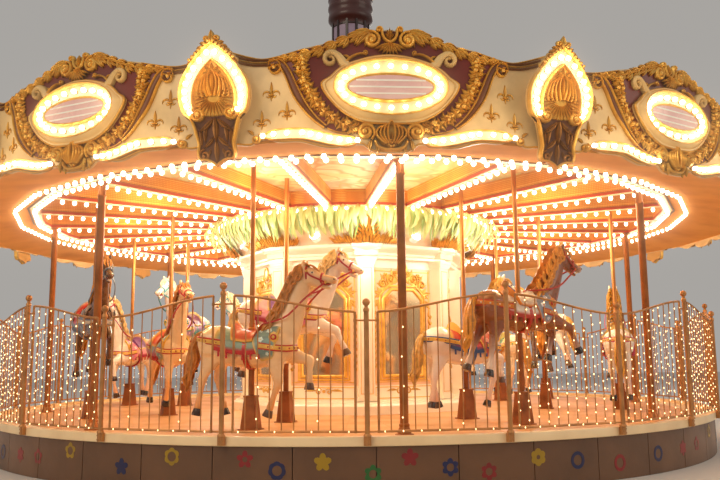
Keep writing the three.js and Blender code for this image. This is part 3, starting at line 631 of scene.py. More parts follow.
def clipped(half, low, high, cut=SHARP):
    """An upright rectangle with its two top corners clipped."""
    return np.array([(-half, low), (half, low), (half, high - cut), (half - cut, high), (-half + cut, high),
                     (-half, high - cut)])


def moulding(outline, width, radius):
    """A moulding carried round a closed outline (x, z) at the front. At each corner it is mitred: the way out
    is the mean of the two edges' normals, lengthened by one over the cosine of half the turn."""
    edge = unit(np.roll(outline, -1, 0) - outline)
    normal = np.column_stack([edge[:, 1], -edge[:, 0]])
    mean = unit(normal + np.roll(normal, 1, 0))
    mitre = mean / np.einsum("ij,ij->i", mean, normal)[:, None]
    section = [(-1, 0), (1, 0), (1, 0.35), (0.55, 0.5), (0.3, 0.95), (-0.3, 1.0), (-0.6, 0.55), (-1, 0.4)]
    path, across = np.insert(outline, 1, -radius, 1), np.insert(mitre, 1, 0, 1)
    return swept(path, section, across, -Y_AXIS, sizes=width, loop=True)


wall_low, wall_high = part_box("drum_wall")
core = ring_bar(rectangle(DRUM_BACK, DRUM_FACE, wall_low.z, wall_high.z), 45, POLE_ANGLE, PINK_CREAM)
boards = [slab(-PANEL_HALF, PANEL_HALF, low, high, DRUM_FLAT - 0.001, DRUM_FLAT + thick, cut, paint)
          for low, high, thick, cut, paint in ((FIELD_LOW, FIELD_TOP, 0.006, 0.003, SALMON),
                                               (FIELD_TOP + 0.01, FRIEZE_TOP, 0.016, 0.005, CREAM),
                                               (DADO_LOW, FIELD_LOW - 0.012, 0.014, 0.005, CREAM))]
piece("drum_panels", [core] + all_around(boards, wall_angles), painted_panel, "panel_paint",
      replaces=["drum_wall"])

# Mirrors in the panels: bevelled plates with clipped top corners, toned brown, in moulded gold frames.
mirror = bpy.data.materials.new("toned_mirror")
mirror.use_nodes = True
tree = mirror.node_tree
haze = noise(tree, object_spot(tree), 2.4, 3.0)[0]
for label, value in (("Base Color", mixed(tree, haze, "c89868", "fadaa8")), ("Metallic", 0.9),
                     ("Roughness", 0.09)):
    feed(tree, tree.nodes["Principled BSDF"].inputs[label], value)
outline = clipped(MIRROR_HALF, MIRROR_LOW, MIRROR_TOP, MIRROR_CUT)
middle = np.array([0, (MIRROR_LOW + MIRROR_TOP) / 2])
glasses = [at_front(plate((outline - middle) * share, thick), DRUM_FLAT + out, middle[1])
           for share, thick, out in ((0.995, 0.006, 0.006), (0.9, 0.004, 0.0118))]
piece("drum_mirrors", all_around(glasses, wall_angles), mirror, "mirror_glass")

# Gold frames and foliage on the panels: moulded resin under gold paint, pinned on. The frame is doubled, a
# fillet runs round the field, and leaves with rosettes climb both shoulders to a medallion.
RIDGE = np.array([(1.0, -0.15), (0.72, 0.68), (0.0, 1.0), (-0.72, 0.68), (-1.0, -0.15)])
LEAF = np.array([(1.0, -0.2), (0.55, 0.66), (0.0, 0.34), (-0.55, 0.66), (-1.0, -0.2)])
SMALL_LEAF = np.array([(1.0, -0.2), (0.0, 0.8), (-1.0, -0.2)])
# Painted shade on the relief: the share of its paint that is left at the foot of a ridge, in the recess, and
# on its two ends.
RECESS_SHADE = 0.34
END_SHADE = 0.6
SPRAY_CURL, SPRAY_THICK = 30, 0.014


def gilded(name, gold, patina, amount=0.5):
    """Gold paint over relief: each face's own tone times the gold, so that painted shade darkens the
    recesses.
    """
    material = coated(name, None, 0.3, patina, amount, 11.0, 0.03, metallic=0.5, coat=0.15)
    tree = material.node_tree
    gold_paint = mixed(tree, 1.0, tree.nodes["Attribute"].outputs["Color"], gold, "MULTIPLY")
    feed(tree, tree.nodes["Group"].inputs["Colour"], gold_paint)
    return material


def through(points, count):
    """A smooth path through given points: on each span a cubic whose slope at a point is half the step
    between its neighbours."""
    points = np.asarray(points, float)
    spans = len(points) - 1
    padded = np.concatenate([2 * points[:1] - points[1:2], points, 2 * points[-1:] - points[-2:-1]])
    t = np.linspace(0, spans, count)
    i = np.minimum(t.astype(int), spans - 1)
    u = (t - i)[:, None]
    p0, p1, p2, p3 = (padded[i + k] for k in range(4))
    return 0.5 * (2 * p1 + (p2 - p0) * u + (2 * p0 - 5 * p1 + 4 * p2 - p3) * u ** 2
                  + (3 * p1 - p0 - 3 * p2 + p3) * u ** 3)


def square_to(path):
    """Unit vectors square to a flat path, to its left."""
    step = unit(np.gradient(path, axis=0))
    return np.column_stack([-step[:, 1], step[:, 0]])


def ridge(path, width, height, section=RIDGE, base=0.0, paint=WHITE):
    """A crowned section carried along a path in x and y, with its width and height given along the path. It
    stands on the plane, base above it, and its paint darkens from the crown down to the recess as painted
    shade."""
    path = np.asarray(path, float)
    sizes = np.stack(np.broadcast_arrays(width, height, np.zeros(len(path)))[:2], 1)
    tone = np.clip(RECESS_SHADE + (1 - RECESS_SHADE) * 1.3 * section[:, 1], RECESS_SHADE, 1)
    recess_shades = np.concatenate([np.tile(tone, len(path)), [END_SHADE, END_SHADE]])
    return swept(level(path, base), section, level(square_to(path)), Z_AXIS, sizes=np.maximum(sizes, 0.0006),
                 paint=recess_shades[:, None] * paint)


def ridge_through(points, count, width, height, base=0.0):
    """A ridge along a smooth path through given points."""
    return ridge(through(points, count), width, height, base=base)


def spiral(centre, outer, inner, start, sweep, count=22):
    """Points on a spiral: the angle runs evenly from start through sweep, the radius from outer to inner."""
    turn = np.radians(np.linspace(start, start + sweep, count))
    radius = outer + (inner - outer) * np.linspace(0, 1, count) ** 0.85
    return np.asarray(centre) + np.column_stack([np.cos(turn), np.sin(turn)]) * radius[:, None]


def scroll(centre, outer, inner, start, sweep, width, height, count=15, base=0.0):
    """A ridge along a spiral that thins towards its eye and ends in a bead."""
    share = np.linspace(0, 1, count)
    path = spiral(centre, outer, inner, start, sweep, count)
    body = ridge(path, width * (0.35 + 0.65 * np.sin(np.pi * np.clip(share * 0.75 + 0.12, 0, 1))),
                 height * (0.75 + 0.25 * share), base=base)
    bead = turned([(0, 0), (width * 1.15, 0), (width * 0.9, height * 0.8), (0, height * 1.3)], ring_plan(8))
    return [body, moved(bead, (*path[-1], base))]


def leaf(root, heading, length, width, curl, height=0.012, base=0.0, rows=5, section=LEAF):
    """A pointed leaf with a raised rib: its middle line is an arc that turns by curl degrees along its
    length, its width the sine of the share of the length, drawn forward to the widest third."""
    share = np.linspace(0, 1, rows)
    turn = np.radians(heading + curl * share)
    step = np.column_stack([np.cos(turn), np.sin(turn)]) * length / (rows - 1)
    path = np.asarray(root) + np.concatenate([[(0, 0)], np.cumsum((step[1:] + step[:-1]) / 2, 0)])
    swell = np.sin(np.pi * np.clip(share, 0.06, 1) ** 0.75)
    return ridge(path, width / 2 * swell, height * (0.35 + 0.65 * swell), section, base)


def leaves(rows, *rest):
    """Leaves from rows of a root, a heading, a length, a width and a curl, and what they share."""
    return [leaf(*row, *rest) for row in rows]


def spray(root, heading, length, width, count=5, fan=100):
    """Leaves fanned about a heading: those at the edges are shorter and curl outwards."""
    return [leaf(root, heading + share * fan / 2, length * (1 - 0.38 * abs(share)), width, SPRAY_CURL * share,
                 SPRAY_THICK * (1 - 0.3 * abs(share))) for share in np.linspace(-1, 1, count)]


def rosette(centre, size, petals=6, height=0.016, base=0.0):
    """A domed boss in a ring of round petals."""
    dome = turned([(0, 0), (1, 0), (0.72, 0.78), (0, 1)], ring_plan(6))
    spots = level(centre + size * 0.62 * ring_plan(petals), base)
    return [copies(dome, spots, (size * 0.36, size * 0.36, height * 0.8)),
            copies(dome, [(*centre, base)], (size * 0.34, size * 0.34, height * 1.25))]


def mirrored(shapes):
    """The shapes and their mirror images across x = 0."""
    return shapes + [closed(points * (-1, 1, 1), faces, paint) for points, faces, paint in shapes]


gold_leaf = gilded("drum_gold", "f6c660", "b4742c")
FILLET_X, FILLET_LOW, FILLET_TOP = PANEL_HALF - 0.035, FIELD_LOW + 0.035, FIELD_TOP - 0.03
frames = [moulding(outline, 0.022, DRUM_FLAT + 0.01),
          moulding(clipped(MIRROR_HALF + 0.045, MIRROR_LOW - 0.045, MIRROR_TOP + 0.045, MIRROR_CUT), 0.014,
                   DRUM_FLAT + 0.006),
          moulding(clipped(FILLET_X, FILLET_LOW, FILLET_TOP), 0.006, DRUM_FLAT + 0.006),
          moulding(clipped(PANEL_HALF - 0.03, DECK_TOP + 0.19, FIELD_LOW - 0.03), 0.005, DRUM_FLAT + 0.0145)]
for spot in ((x, z) for x in (-FILLET_X, FILLET_X) for z in (FILLET_LOW, FILLET_TOP)):
    frames += [at_front(shape, DRUM_FLAT + 0.006) for shape in rosette(spot, 0.02, 4, 0.012)]
# The foliage is drawn from the top of the mirror's frame, the leaves up the panel's edges from the field's
# foot.
shoulder = MIRROR_TOP + 0.02
medal_middle = (0, shoulder + 0.262)
foliage = (spray((0.23, -0.01), 62, 0.22, 0.07, 5, 130) + spray((0.31, -0.08), 10, 0.15, 0.06, 5, 120)
           + spray((0.13, 0.06), 80, 0.2, 0.065, 5, 100) + spray((0.345, -0.17), -62, 0.16, 0.05, 4, 70)
           + scroll((0.175, 0.12), 0.075, 0.014, -60, 480, 0.014, 0.03)
           + scroll((0.31, 0.05), 0.062, 0.012, 210, -470, 0.013, 0.028)
           + rosette((0.255, 0.16), 0.045, 6, 0.026) + rosette((0.105, 0.2), 0.036, 6, 0.024)
           + [leaf((0.0, 0.09), 20, 0.18, 0.055, 40, 0.02)])
foliage = [moved(shape, (0, shoulder, 0))
           for shape in mirrored(foliage) + spray((0, 0.05), 90, 0.12, 0.05, 5, 150)]
foliage += mirrored([leaf((PANEL_HALF - 0.012, z), 90 + lean, 0.1, 0.042, -lean, 0.024, section=SMALL_LEAF)
                     for z in np.linspace(FIELD_LOW + 0.18, FIELD_LOW + 0.86, 9) for lean in (-38, 38)])
dado_leaf = (mirrored(scroll((0.07, FIELD_LOW - 0.085), 0.05, 0.01, 150, -420, 0.008, 0.014)
                      + [leaf((0.11, FIELD_LOW - 0.07), 10, 0.16, 0.035, -30)])
             + rosette((0, FIELD_LOW - 0.08), 0.025))
frames += [at_front(shape, DRUM_FLAT + 0.007) for shape in foliage]
frames += [at_front(shape, DRUM_FLAT + 0.015) for shape in dado_leaf]
frames += [moulding(ring_plan(24) * (0.066, 0.082) + medal_middle, 0.014, DRUM_FLAT + 0.018)]
piece("drum_gilding", all_around(frames, wall_angles), gold_leaf, "gold_ornament", crease=50)
cameo = copies(turned([(0, 0), (1, 0), (0.9, 0.5), (0.55, 0.85), (0, 1)], ring_plan(16)),
               [(*medal_middle, 0)], (0.058, 0.074, 0.02))
piece("drum_cameos", [around(at_front(cameo, DRUM_FLAT + 0.016), wall_angles)],
      coated("cameo_enamel", "f3d9a8", 0.25, "cf9a55", 0.4, 20.0, 0.01, coat=0.5), "white_paint")

# Columns at the drum's corners with base and capital, and the stepped base and the cornice that run round the
# drum: turned and boxed timber in white and cream gloss.
COLUMN_RADIUS, COLUMN_HALF, COLUMN_BACK = 1.496, 0.105, 1.32
CORNICE_LOW, CORNICE_TOP = DECK_TOP + 1.99, DECK_TOP + 2.165
base_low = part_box("drum_columns")[0]
base_ring = [(1.474, base_low.z), (1.758, base_low.z), (1.758, DECK_TOP + 0.105), (1.742, DECK_TOP + 0.122),
             (1.7, DECK_TOP + 0.13), (1.69, DECK_TOP + 0.15), (1.6, DECK_TOP + 0.165),
             (1.474, DECK_TOP + 0.165)]
cornice_ring = np.array([(1.474, 0), (1.6, 0), (1.604, 0.03), (1.622, 0.045), (1.63, 0.07), (1.668, 0.095),
                         (1.7, 0.102), (1.735, 0.12), (1.757, 0.138), (1.76, 0.16), (1.75, 0.175),
                         (1.474, 0.175)]) + (0, CORNICE_LOW)
masonry = [ring_bar(section, 45, POLE_ANGLE, CREAM) for section in (base_ring, cornice_ring)]
foot_z = DECK_TOP + 0.165
column_front = COLUMN_RADIUS + COLUMN_HALF
column = [slab(-COLUMN_HALF, COLUMN_HALF, foot_z + 0.05, CORNICE_LOW - 0.09, COLUMN_BACK, column_front, 0.006,
               CREAM),
          slab(-0.055, 0.055, foot_z + 0.11, CORNICE_LOW - 0.16, column_front - 0.001, column_front + 0.007,
               0.004, PANEL_CREAM)]
# Steps of the column's base, its capital and the cornice over it: foot, top, how far each stands out, paint
for z0, z1, grow, paint in ((foot_z - 0.001, foot_z + 0.035, 0.032, CREAM),
                            (foot_z + 0.034, foot_z + 0.055, 0.018, CREAM),
                            (CORNICE_LOW - 0.095, CORNICE_LOW - 0.07, 0.012, CREAM),
                            (CORNICE_LOW - 0.071, CORNICE_LOW - 0.035, 0.022, CREAM),
                            (CORNICE_LOW - 0.036, CORNICE_LOW + 0.001, 0.034, CREAM),
                            (CORNICE_LOW + 0.03, CORNICE_LOW + 0.1, 0.05, PINK_CREAM),
                            (CORNICE_LOW + 0.0995, CORNICE_LOW + 0.135, 0.075, PINK_CREAM),
                            (CORNICE_LOW + 0.1345, CORNICE_TOP, 0.1, PINK_CREAM)):
    half = COLUMN_HALF + grow
    column.append(slab(-half, half, z0, z1, COLUMN_BACK, column_front + grow, 0.006, paint))
piece("drum_columns_and_cornice", masonry + all_around(column, corner_angles), white_gloss, "white_paint",
      crease=30, replaces=["drum_columns"])
fillet = moulding(clipped(0.075, foot_z + 0.09, CORNICE_LOW - 0.135), 0.004, column_front + 0.0005)
piece("column_fillets", [around(fillet, corner_angles)], gold_leaf, "gold_ornament")

# Crown over the cornice: a flared cove of cream sheet, hung all round with long moulded plastic leaves in
# pale yellow-green. They are tacked to the cove's rim: the inner ones lie on the cove, the outer ones arch
# and droop.
CROWN_FOOT = DECK_TOP + 2.166
FROND_STEPS = 7
# LEAF_DEEP, the darkest of the three greens, is for the lowest row, which hangs under the others: partly the
# leaves' own green, partly painted shade.
LEAF_LIGHT, LEAF_GREEN, LEAF_DEEP = map(colour, ("eee8a4", "c4d080", "94b262"))
crown_paint = coated("crown_leaf_plastic", None, 0.42, "b8d084", 0.4, 9.0, 0.03, coat=0.15)


def frond(profile, width, height, sway, paint):
    """A leaf whose middle line is a smooth profile (radius, height) at the front and sways aside with the
    square of its length. Its width swells to the middle and ends in a point."""
    line = through(profile, FROND_STEPS)
    share = np.linspace(0, 1, FROND_STEPS)
    step = unit(np.gradient(line, axis=0))
    outwards = np.insert(-step[:, ::-1], 0, 0, 1) * np.where(step[:, 1:] < 0, -1, 1)
    path = np.column_stack([sway * share ** 2, -line[:, 0], line[:, 1]])
    swell = 0.45 + 0.55 * np.sin(np.pi * np.clip(share * 1.05, 0, 1))
    swell[-1] = 0.03
    tone = np.concatenate([np.repeat(np.linspace(0.86, 1.06, FROND_STEPS), len(SMALL_LEAF)),
                           [0.9, 1.0]])[:, None]
    return swept(path, SMALL_LEAF, X_AXIS, outwards,
                 sizes=np.column_stack([width / 2 * swell, height * swell]),
                 paint=np.clip(tone * paint, 0, 1))


cove = np.array([(1.56, 0), (1.62, 0), (1.7, 0.1), (1.86, 0.27), (1.99, 0.432), (1.97, 0.432), (1.84, 0.28),
                 (1.67, 0.11)])
crown_shell = ring_bar(cove + (0, CROWN_FOOT), 7.5)
cove_tone = np.where(crown_shell[0][:, 2:] > CROWN_FOOT + 0.2, LEAF_GREEN, PINK_CREAM)
# Each row of leaves: its profile as (radius, height over the crown's foot), width, thickness, paint
FROND_ROWS = [([(1.97, 0.42), (1.92, 0.3), (1.82, 0.19), (1.75, 0.09)], 0.085, 0.012, LEAF_GREEN),
              ([(1.99, 0.42), (2.0, 0.33), (1.95, 0.22), (1.89, 0.14)], 0.075, 0.016, LEAF_LIGHT),
              ([(1.99, 0.415), (2.06, 0.37), (2.06, 0.26), (2.01, 0.16)], 0.05, 0.014, LEAF_GREEN),
              ([(1.96, 0.41), (2.09, 0.425), (2.16, 0.33), (2.16, 0.2)], 0.062, 0.014, LEAF_LIGHT),
              ([(1.98, 0.42), (1.97, 0.33), (1.91, 0.2), (1.87, 0.04)], 0.04, 0.01, LEAF_DEEP)]
FROND_KINDS = 4
FROND_REPEATS = 22
draw = np.random.default_rng(21)
fronds = [(*crown_shell[:2], cove_tone)]
for row, (profile, width, thick, paint) in enumerate(FROND_ROWS):
    for kind in range(FROND_KINDS):
        line = np.array(profile) + (0, CROWN_FOOT)
        line[1:] += (draw.uniform(-0.016, 0.016, (3, 2))
                     + np.outer([0.1, 0.5, 1.0], (0.0, draw.uniform(-0.06, 0.05))))
        made = frond(line, width * draw.uniform(0.8, 1.2), thick, draw.uniform(-0.06, 0.06), np.array(paint))
        turns = np.arange(FROND_REPEATS) + (kind + 0.5 * (row % 2) + draw.uniform(-0.2, 0.2)) / FROND_KINDS
        fronds.append(around(made, 360 / FROND_REPEATS * turns))
piece("crown_fronds", fronds, crown_paint, "crown_leaf", crease=60, replaces=["drum_crown"])

# Gilded sprays on the cornice: bundles of moulded leaves over every column, tall cones and low brushes in
# turn, with a floodlight in a small drum between each two.
SPRAY_SLOPE = 0.75
SPRAY_Z, SPRAY_RADIUS = DECK_TOP + 2.163, COLUMN_RADIUS + 0.17
LAMP_TILT = math.radians(62)
LAMP_SPOT = (0, -1.655, CROWN_FOOT + 0.072)


def brush(spread_x, count, length, lean, seed):
    """Spikes in a row along the cornice that fan out sideways, each a little longer or shorter than the
    next."""
    random = np.random.default_rng(seed)
    made = []
    for share in np.linspace(-1, 1, count):
        grow = length * (1 - 0.3 * abs(share)) * random.uniform(0.8, 1.15)
        made.append(leaf((share * spread_x, -0.004), 90 - 48 * share + random.uniform(-9, 9), grow, 0.03,
                         -18 * share, 0.02, base=lean + 0.02 * random.random(), rows=4))
    return made


def cone(rows, height, width):
    """Rows of short leaves that overlap upwards and get narrower, as on a pine cone."""
    return [leaf((place * width * (1 - 0.75 * row / (rows - 1)), row / (rows - 1) * height), 90 - 38 * place,
                 0.1, 0.036, -18 * place, 0.03, base=0.045 * (1 - abs(place)), rows=4) for row in range(rows)
            for place in np.linspace(-1, 1, 7 - row // 2)]


def leaning(shapes, radius):
    """Drawings stood on the cornice that lean outwards: each point moves out by a slope times its height."""
    return [at_front((points + np.outer(points[:, 1], (0, 0, SPRAY_SLOPE)), faces, paint), radius, SPRAY_Z)
            for points, faces, paint in shapes]


def lamp_part(profile):
    """A turned part of a cornice lamp, tilted outwards and set in its place at the front."""
    points, faces, paint = turned(profile, ring_plan(16))
    x, y, z = points.T
    tilted = np.column_stack([x, -z * math.sin(LAMP_TILT) - y * math.cos(LAMP_TILT),
                              z * math.cos(LAMP_TILT) - y * math.sin(LAMP_TILT)])
    return around(moved(closed(tilted, faces), LAMP_SPOT), wall_angles)


sprays = all_around(leaning(brush(0.4, 32, 0.2, 0.0, 2) + brush(0.37, 26, 0.13, 0.05, 3), SPRAY_RADIUS),
                    corner_angles)
sprays += all_around(leaning(cone(7, 0.24, 0.115), SPRAY_RADIUS + 0.05), corner_angles[::2])
piece("cornice_sprays", sprays, gilded("spray_gold", "f8b84a", "8e4c14"), "gold_ornament", crease=55)
piece("cornice_lamp_cans",
      [lamp_part([(0, 0), (0.062, 0), (0.075, 0.09), (0.07, 0.092), (0.058, 0.03), (0, 0.03)])], white_gloss,
      "white_paint")
piece("cornice_lamp_lenses",
      [lamp_part([(0, 0.03), (0.056, 0.034), (0.064, 0.075), (0.04, 0.09), (0, 0.094)])],
      glowing("flood_lens", (1.0, 0.93, 0.78), 9.0), "bulb_glass")

# Sweeps: 24 deep painted plywood beams between an inner and an outer ring. Their sides are orange with a
# small gilded diaper in a gold fillet, their lower edges are red, and their undersides are cream and carry
# the bulbs.
SWEEPS = 24
SWEEP_LOW, SWEEP_HIGH = DECK_TOP + 2.6, DECK_TOP + 2.8
SWEEP_HALF = 0.05
RING_INNER, RING_INNER_BACK = 1.93, 2.05
RING_OUTER, RING_OUTER_BACK = 4.497, 4.367
RING_TURN = 7.5
EDGE_DEEP, FILLET_Z, FILLET_DEEP = 0.032, 0.058, 0.008
DIAPER_STEP = 0.042
ORANGE, SWEEP_RED, SWEEP_GOLD, SWEEP_LINE, UNDERSIDE = map(
    colour, ("dd8a2e", "b8361c", "f0bc5c", "3a160c", "ffe9bd"))
sweep_angles = POLE_ANGLE + 15 * np.arange(SWEEPS)
joint_angles = 15 * np.arange(SWEEPS)


def make_sweep_paint():
    """Paint from each face's own colour. On orange, small gold lozenges repeat along the radius and the
    height."""
    material = coated("sweep_paint", None, 0.4, "7a3a12", 0.35, 3.0, 0.012, coat=0.15)
    tree = material.node_tree
    paint = tree.nodes["Attribute"].outputs["Color"]
    spot = node(tree, "ShaderNodeSeparateXYZ", {0: object_spot(tree)})
    flat = node(tree, "ShaderNodeCombineXYZ", {0: spot.outputs[0], 1: spot.outputs[1]})
    radius = node(tree, "ShaderNodeVectorMath", {0: flat.outputs[0]}, operation="LENGTH").outputs["Value"]
    rising, falling = (calc(tree, "SINE",
                            calc(tree, "MULTIPLY", calc(tree, operation, radius, spot.outputs[2]),
                                 2 * math.pi / DIAPER_STEP)) for operation in ("ADD", "SUBTRACT"))
    dots = spread(tree, calc(tree, "MULTIPLY", rising, falling), 0.25, 0.55)
    hue = node(tree, "ShaderNodeSeparateColor", {0: paint})
    warm = node(tree, "ShaderNodeMath", {0: hue.outputs["Green"], 1: ORANGE[1], 2: 0.004},
                operation="COMPARE")
    share = calc(tree, "MULTIPLY", dots, warm.outputs[0])
    feed(tree, tree.nodes["Group"].inputs["Colour"], mixed(tree, share, paint, (*SWEEP_GOLD, 1)))
    return material


def beam(x0, x1, y0, y1, z0, z1, paint, cut=0.002):
    """A straight bar at the front that runs outwards from radius y0 to y1."""
    return swept([(0, -y0, 0), (0, -y1, 0)], chamfered(x0, x1, z0, z1, cut), X_AXIS, Z_AXIS, paint=paint)


def canopy_ring(section, paint=WHITE):
    """A section carried round the 24 sides of the canopy."""
    return ring_bar(section, 15, RING_TURN, paint)


inner_end, outer_end = RING_INNER_BACK - 0.03, RING_OUTER_BACK + 0.02
near, far = inner_end + 0.07, outer_end - 0.06
beams = [beam(-SWEEP_HALF, SWEEP_HALF, inner_end, outer_end, SWEEP_LOW, SWEEP_HIGH, ORANGE),
         beam(-SWEEP_HALF + 0.012, SWEEP_HALF - 0.012, inner_end, outer_end, SWEEP_LOW - 0.003,
              SWEEP_LOW + 0.001, UNDERSIDE, 0.001)]
for x0, x1 in ((-SWEEP_HALF - 0.005, -SWEEP_HALF + 0.001), (SWEEP_HALF - 0.001, SWEEP_HALF + 0.005)):
    beams.append(beam(x0, x1, inner_end, outer_end, SWEEP_LOW, SWEEP_LOW + EDGE_DEEP, SWEEP_RED))
    beams.append(beam(x0, x1, inner_end, outer_end, SWEEP_LOW + 0.036, SWEEP_LOW + 0.04, SWEEP_LINE, 0.001))
    for z in (SWEEP_LOW + FILLET_Z, SWEEP_HIGH - 0.03):
        beams.append(beam(x0, x1, near, far, z, z + FILLET_DEEP, SWEEP_GOLD))
    for y in (near, far - FILLET_DEEP):
        beams.append(beam(x0, x1, y, y + FILLET_DEEP, SWEEP_LOW + FILLET_Z, SWEEP_HIGH - 0.022, SWEEP_GOLD))
rings = []
for r0, r1 in ((RING_INNER, RING_INNER_BACK), (RING_OUTER_BACK, RING_OUTER)):
    rings += [canopy_ring(rectangle(r0, r1, SWEEP_LOW, SWEEP_HIGH), ORANGE),
              canopy_ring(rectangle(r0 + 0.012, r1 - 0.012, SWEEP_LOW - 0.003, SWEEP_LOW + 0.001), UNDERSIDE)]
for r0 in (RING_INNER - 0.005, RING_OUTER_BACK - 0.005, RING_INNER_BACK - 0.001):
    rings += [canopy_ring(rectangle(r0, r0 + 0.006, SWEEP_LOW, SWEEP_LOW + EDGE_DEEP), SWEEP_RED),
              canopy_ring(rectangle(r0, r0 + 0.006, SWEEP_HIGH - 0.03, SWEEP_HIGH - 0.022), SWEEP_GOLD)]
piece("sweep_beams", all_around(beams, sweep_angles) + rings, make_sweep_paint(), "sweep_paint", crease=30,
      replaces=["sweeps"])

# Ceiling panels on top of the sweeps: painted ply with soft pale clouds of cream, green and rose, and faint
# warm veins between them. The eaves beyond are smooth orange boards.
ceiling = coated("ceiling_marbling", None, 0.5, "c9b27a", 0.2, 2.0, 0.01)
tree = ceiling.node_tree
spot = object_spot(tree)
drift = noise(tree, spot, 1.1, 3.0, 1.2)
ramp = node(tree, "ShaderNodeValToRGB", {"Fac": drift[0]})
stops = ramp.color_ramp.elements
for place, code in ((0.3, "f6e7b0"), (0.42, "d2d898"), (0.54, "faeec4"), (0.66, "efb892")):
    stops.new(place).color = (*colour(code), 1)
stops.remove(stops[0])
stops.remove(stops[-1])
warped = node(tree, "ShaderNodeVectorMath", {0: spot, 1: drift["Color"]}, operation="ADD").outputs[0]
veins = node(tree, "ShaderNodeTexVoronoi", {"Vector": warped, "Scale": 1.9}, feature="DISTANCE_TO_EDGE")
line = spread(tree, veins.outputs["Distance"], 0.01, 0.075, 1.0, 0.0)
feed(tree, tree.nodes["Group"].inputs["Colour"], mixed(tree, line, ramp.outputs[0], "e2b678"))
dress("ceiling_panels", ceiling)
eaves_paint = coated("eaves_paint", "eaa040", 0.8, "b05e1a", 0.4, 2.0, 0.012)
dress("eaves_soffit", eaves_paint)
dress("eaves_fascia", eaves_paint)
eaves_section = np.array([(0.001, -0.012), (0.02, -0.012), (0.02, -0.0045), (0.001, -0.0005)])
piece("eaves_line", [canopy_ring(eaves_section + (RING_OUTER, SWEEP_LOW))],
      coated("eaves_line_paint", "5a1a10", 0.4, "2c0c06", 0.4, 6.0, 0.01), "sweep_paint")

# Bulbs under the canopy: frosted globes in brass cups, in a row along each sweep and the inner ring, and in
# two rows along the edge of the eaves.
BULB_RADIUS = 0.027
BULB_PITCH = 0.142
BULB_DROP = SWEEP_LOW - 0.034
globe = turned([(0, -1.2), (0.72, -0.86), (1.0, -0.12), (0.66, 0.8), (0, 0.92)], ring_plan(6))
cup = turned([(0, 0.72), (0.72, 0.72), (0.78, 1.35), (0, 1.35)], ring_plan(5))
bulb_glow = glowing("bulb_glass", (1.0, 0.86, 0.6), 6.0)
brass_cup = coated("bulb_cup_brass", "c58a3c", 0.3, "5a300c", 0.5, 20.0, 0.01, metallic=0.7)


def bulb_ring(radius, count, height=BULB_DROP):
    """Bulbs spaced evenly by angle along a ring of 24 flat sides, whose corners lie at the radius."""
    angles = 360 / count * (np.arange(count) + 0.5)
    off = np.abs((angles - RING_TURN + 7.5) % 15 - 7.5)
    return polar(radius * math.cos(math.radians(7.5)) / np.cos(np.radians(7.5 - off)), angles, height)


spots = [polar(radius, sweep_angles, BULB_DROP)
         for radius in np.arange(RING_INNER_BACK + 0.07, RING_OUTER_BACK - 0.03, BULB_PITCH)]
spots = np.concatenate([*spots, bulb_ring(1.99, 96), bulb_ring(4.437, 192),
                        bulb_ring(4.66, 192, BULB_DROP - 0.023)])
piece("canopy_bulbs", [copies(globe, spots, BULB_RADIUS)], bulb_glow, "bulb_glass")
piece("canopy_bulb_cups", [copies(cup, spots, BULB_RADIUS)], brass_cup, "gold_ornament")

# Rounding boards: a ring of 24 flat boards with waved edges that hides the eaves. They are cream, with a
# maroon shield behind every cartouche, and all their relief is bonded on. Their drawings are flat: s runs
# along the boards from the middle of a cartouche, y is the height over the floor, and each is repeated every
# 30 degrees.
BOARD_FLAT = 5.45
BOARD_THICK = 0.03
BOARD_SIDE = 2 * BOARD_FLAT * math.tan(math.radians(7.5))
REPEAT_ANGLES = 30 * np.arange(12)
BOARD_TOP = [(0, 3.42), (0.19, 3.385), (0.419, 3.32), (0.756, 3.235), (1.025, 3.185), (1.178, 3.21),
             (BOARD_SIDE, 3.3)]
BOARD_BOTTOM = [(0, 2.36), (0.152, 2.37), (0.248, 2.43), (0.496, 2.395), (0.756, 2.45), (0.92, 2.455),
                (1.054, 2.49), (1.168, 2.44), (1.264, 2.45), (BOARD_SIDE, 2.45)]
SHIELD_END, SHIELD_MARGIN = 0.95, 0.012
MAROON, BOARD_CREAM = map(colour, ("742218", "eccb92"))


def on_boards(shape):
    """A flat drawing (s, y, out) bent round the ring: each board takes its own stretch of s, which widens
    with the radius so that the shapes close at the corners."""
    points, faces, paint = shape
    s, height, out = points.T
    turn = np.clip(np.round(s / BOARD_SIDE), -1, 1)
    radius = BOARD_FLAT + out
    x = (s - turn * BOARD_SIDE) * radius / BOARD_FLAT
    angle = np.radians(15 * turn)
    bent = [x * np.cos(angle) + radius * np.sin(angle), x * np.sin(angle) - radius * np.cos(angle),
            DECK_TOP + height]
    return np.column_stack(bent), faces, paint


def repeated(shapes, both=True):
    """The right half of a drawing with its mirror image, bent onto the boards at every cartouche."""
    return [around(on_boards(shape), REPEAT_ANGLES) for shape in (mirrored(shapes) if both else shapes)]


def flat_between(top, bottom, low, high, paint):
    """A closed sheet between two paths with as many points each, from height low to high over the boards."""
    ring = [level(bottom, low), level(bottom, high), level(top, high), level(top, low)]
    return skin(np.stack(ring, 1), paint=paint)


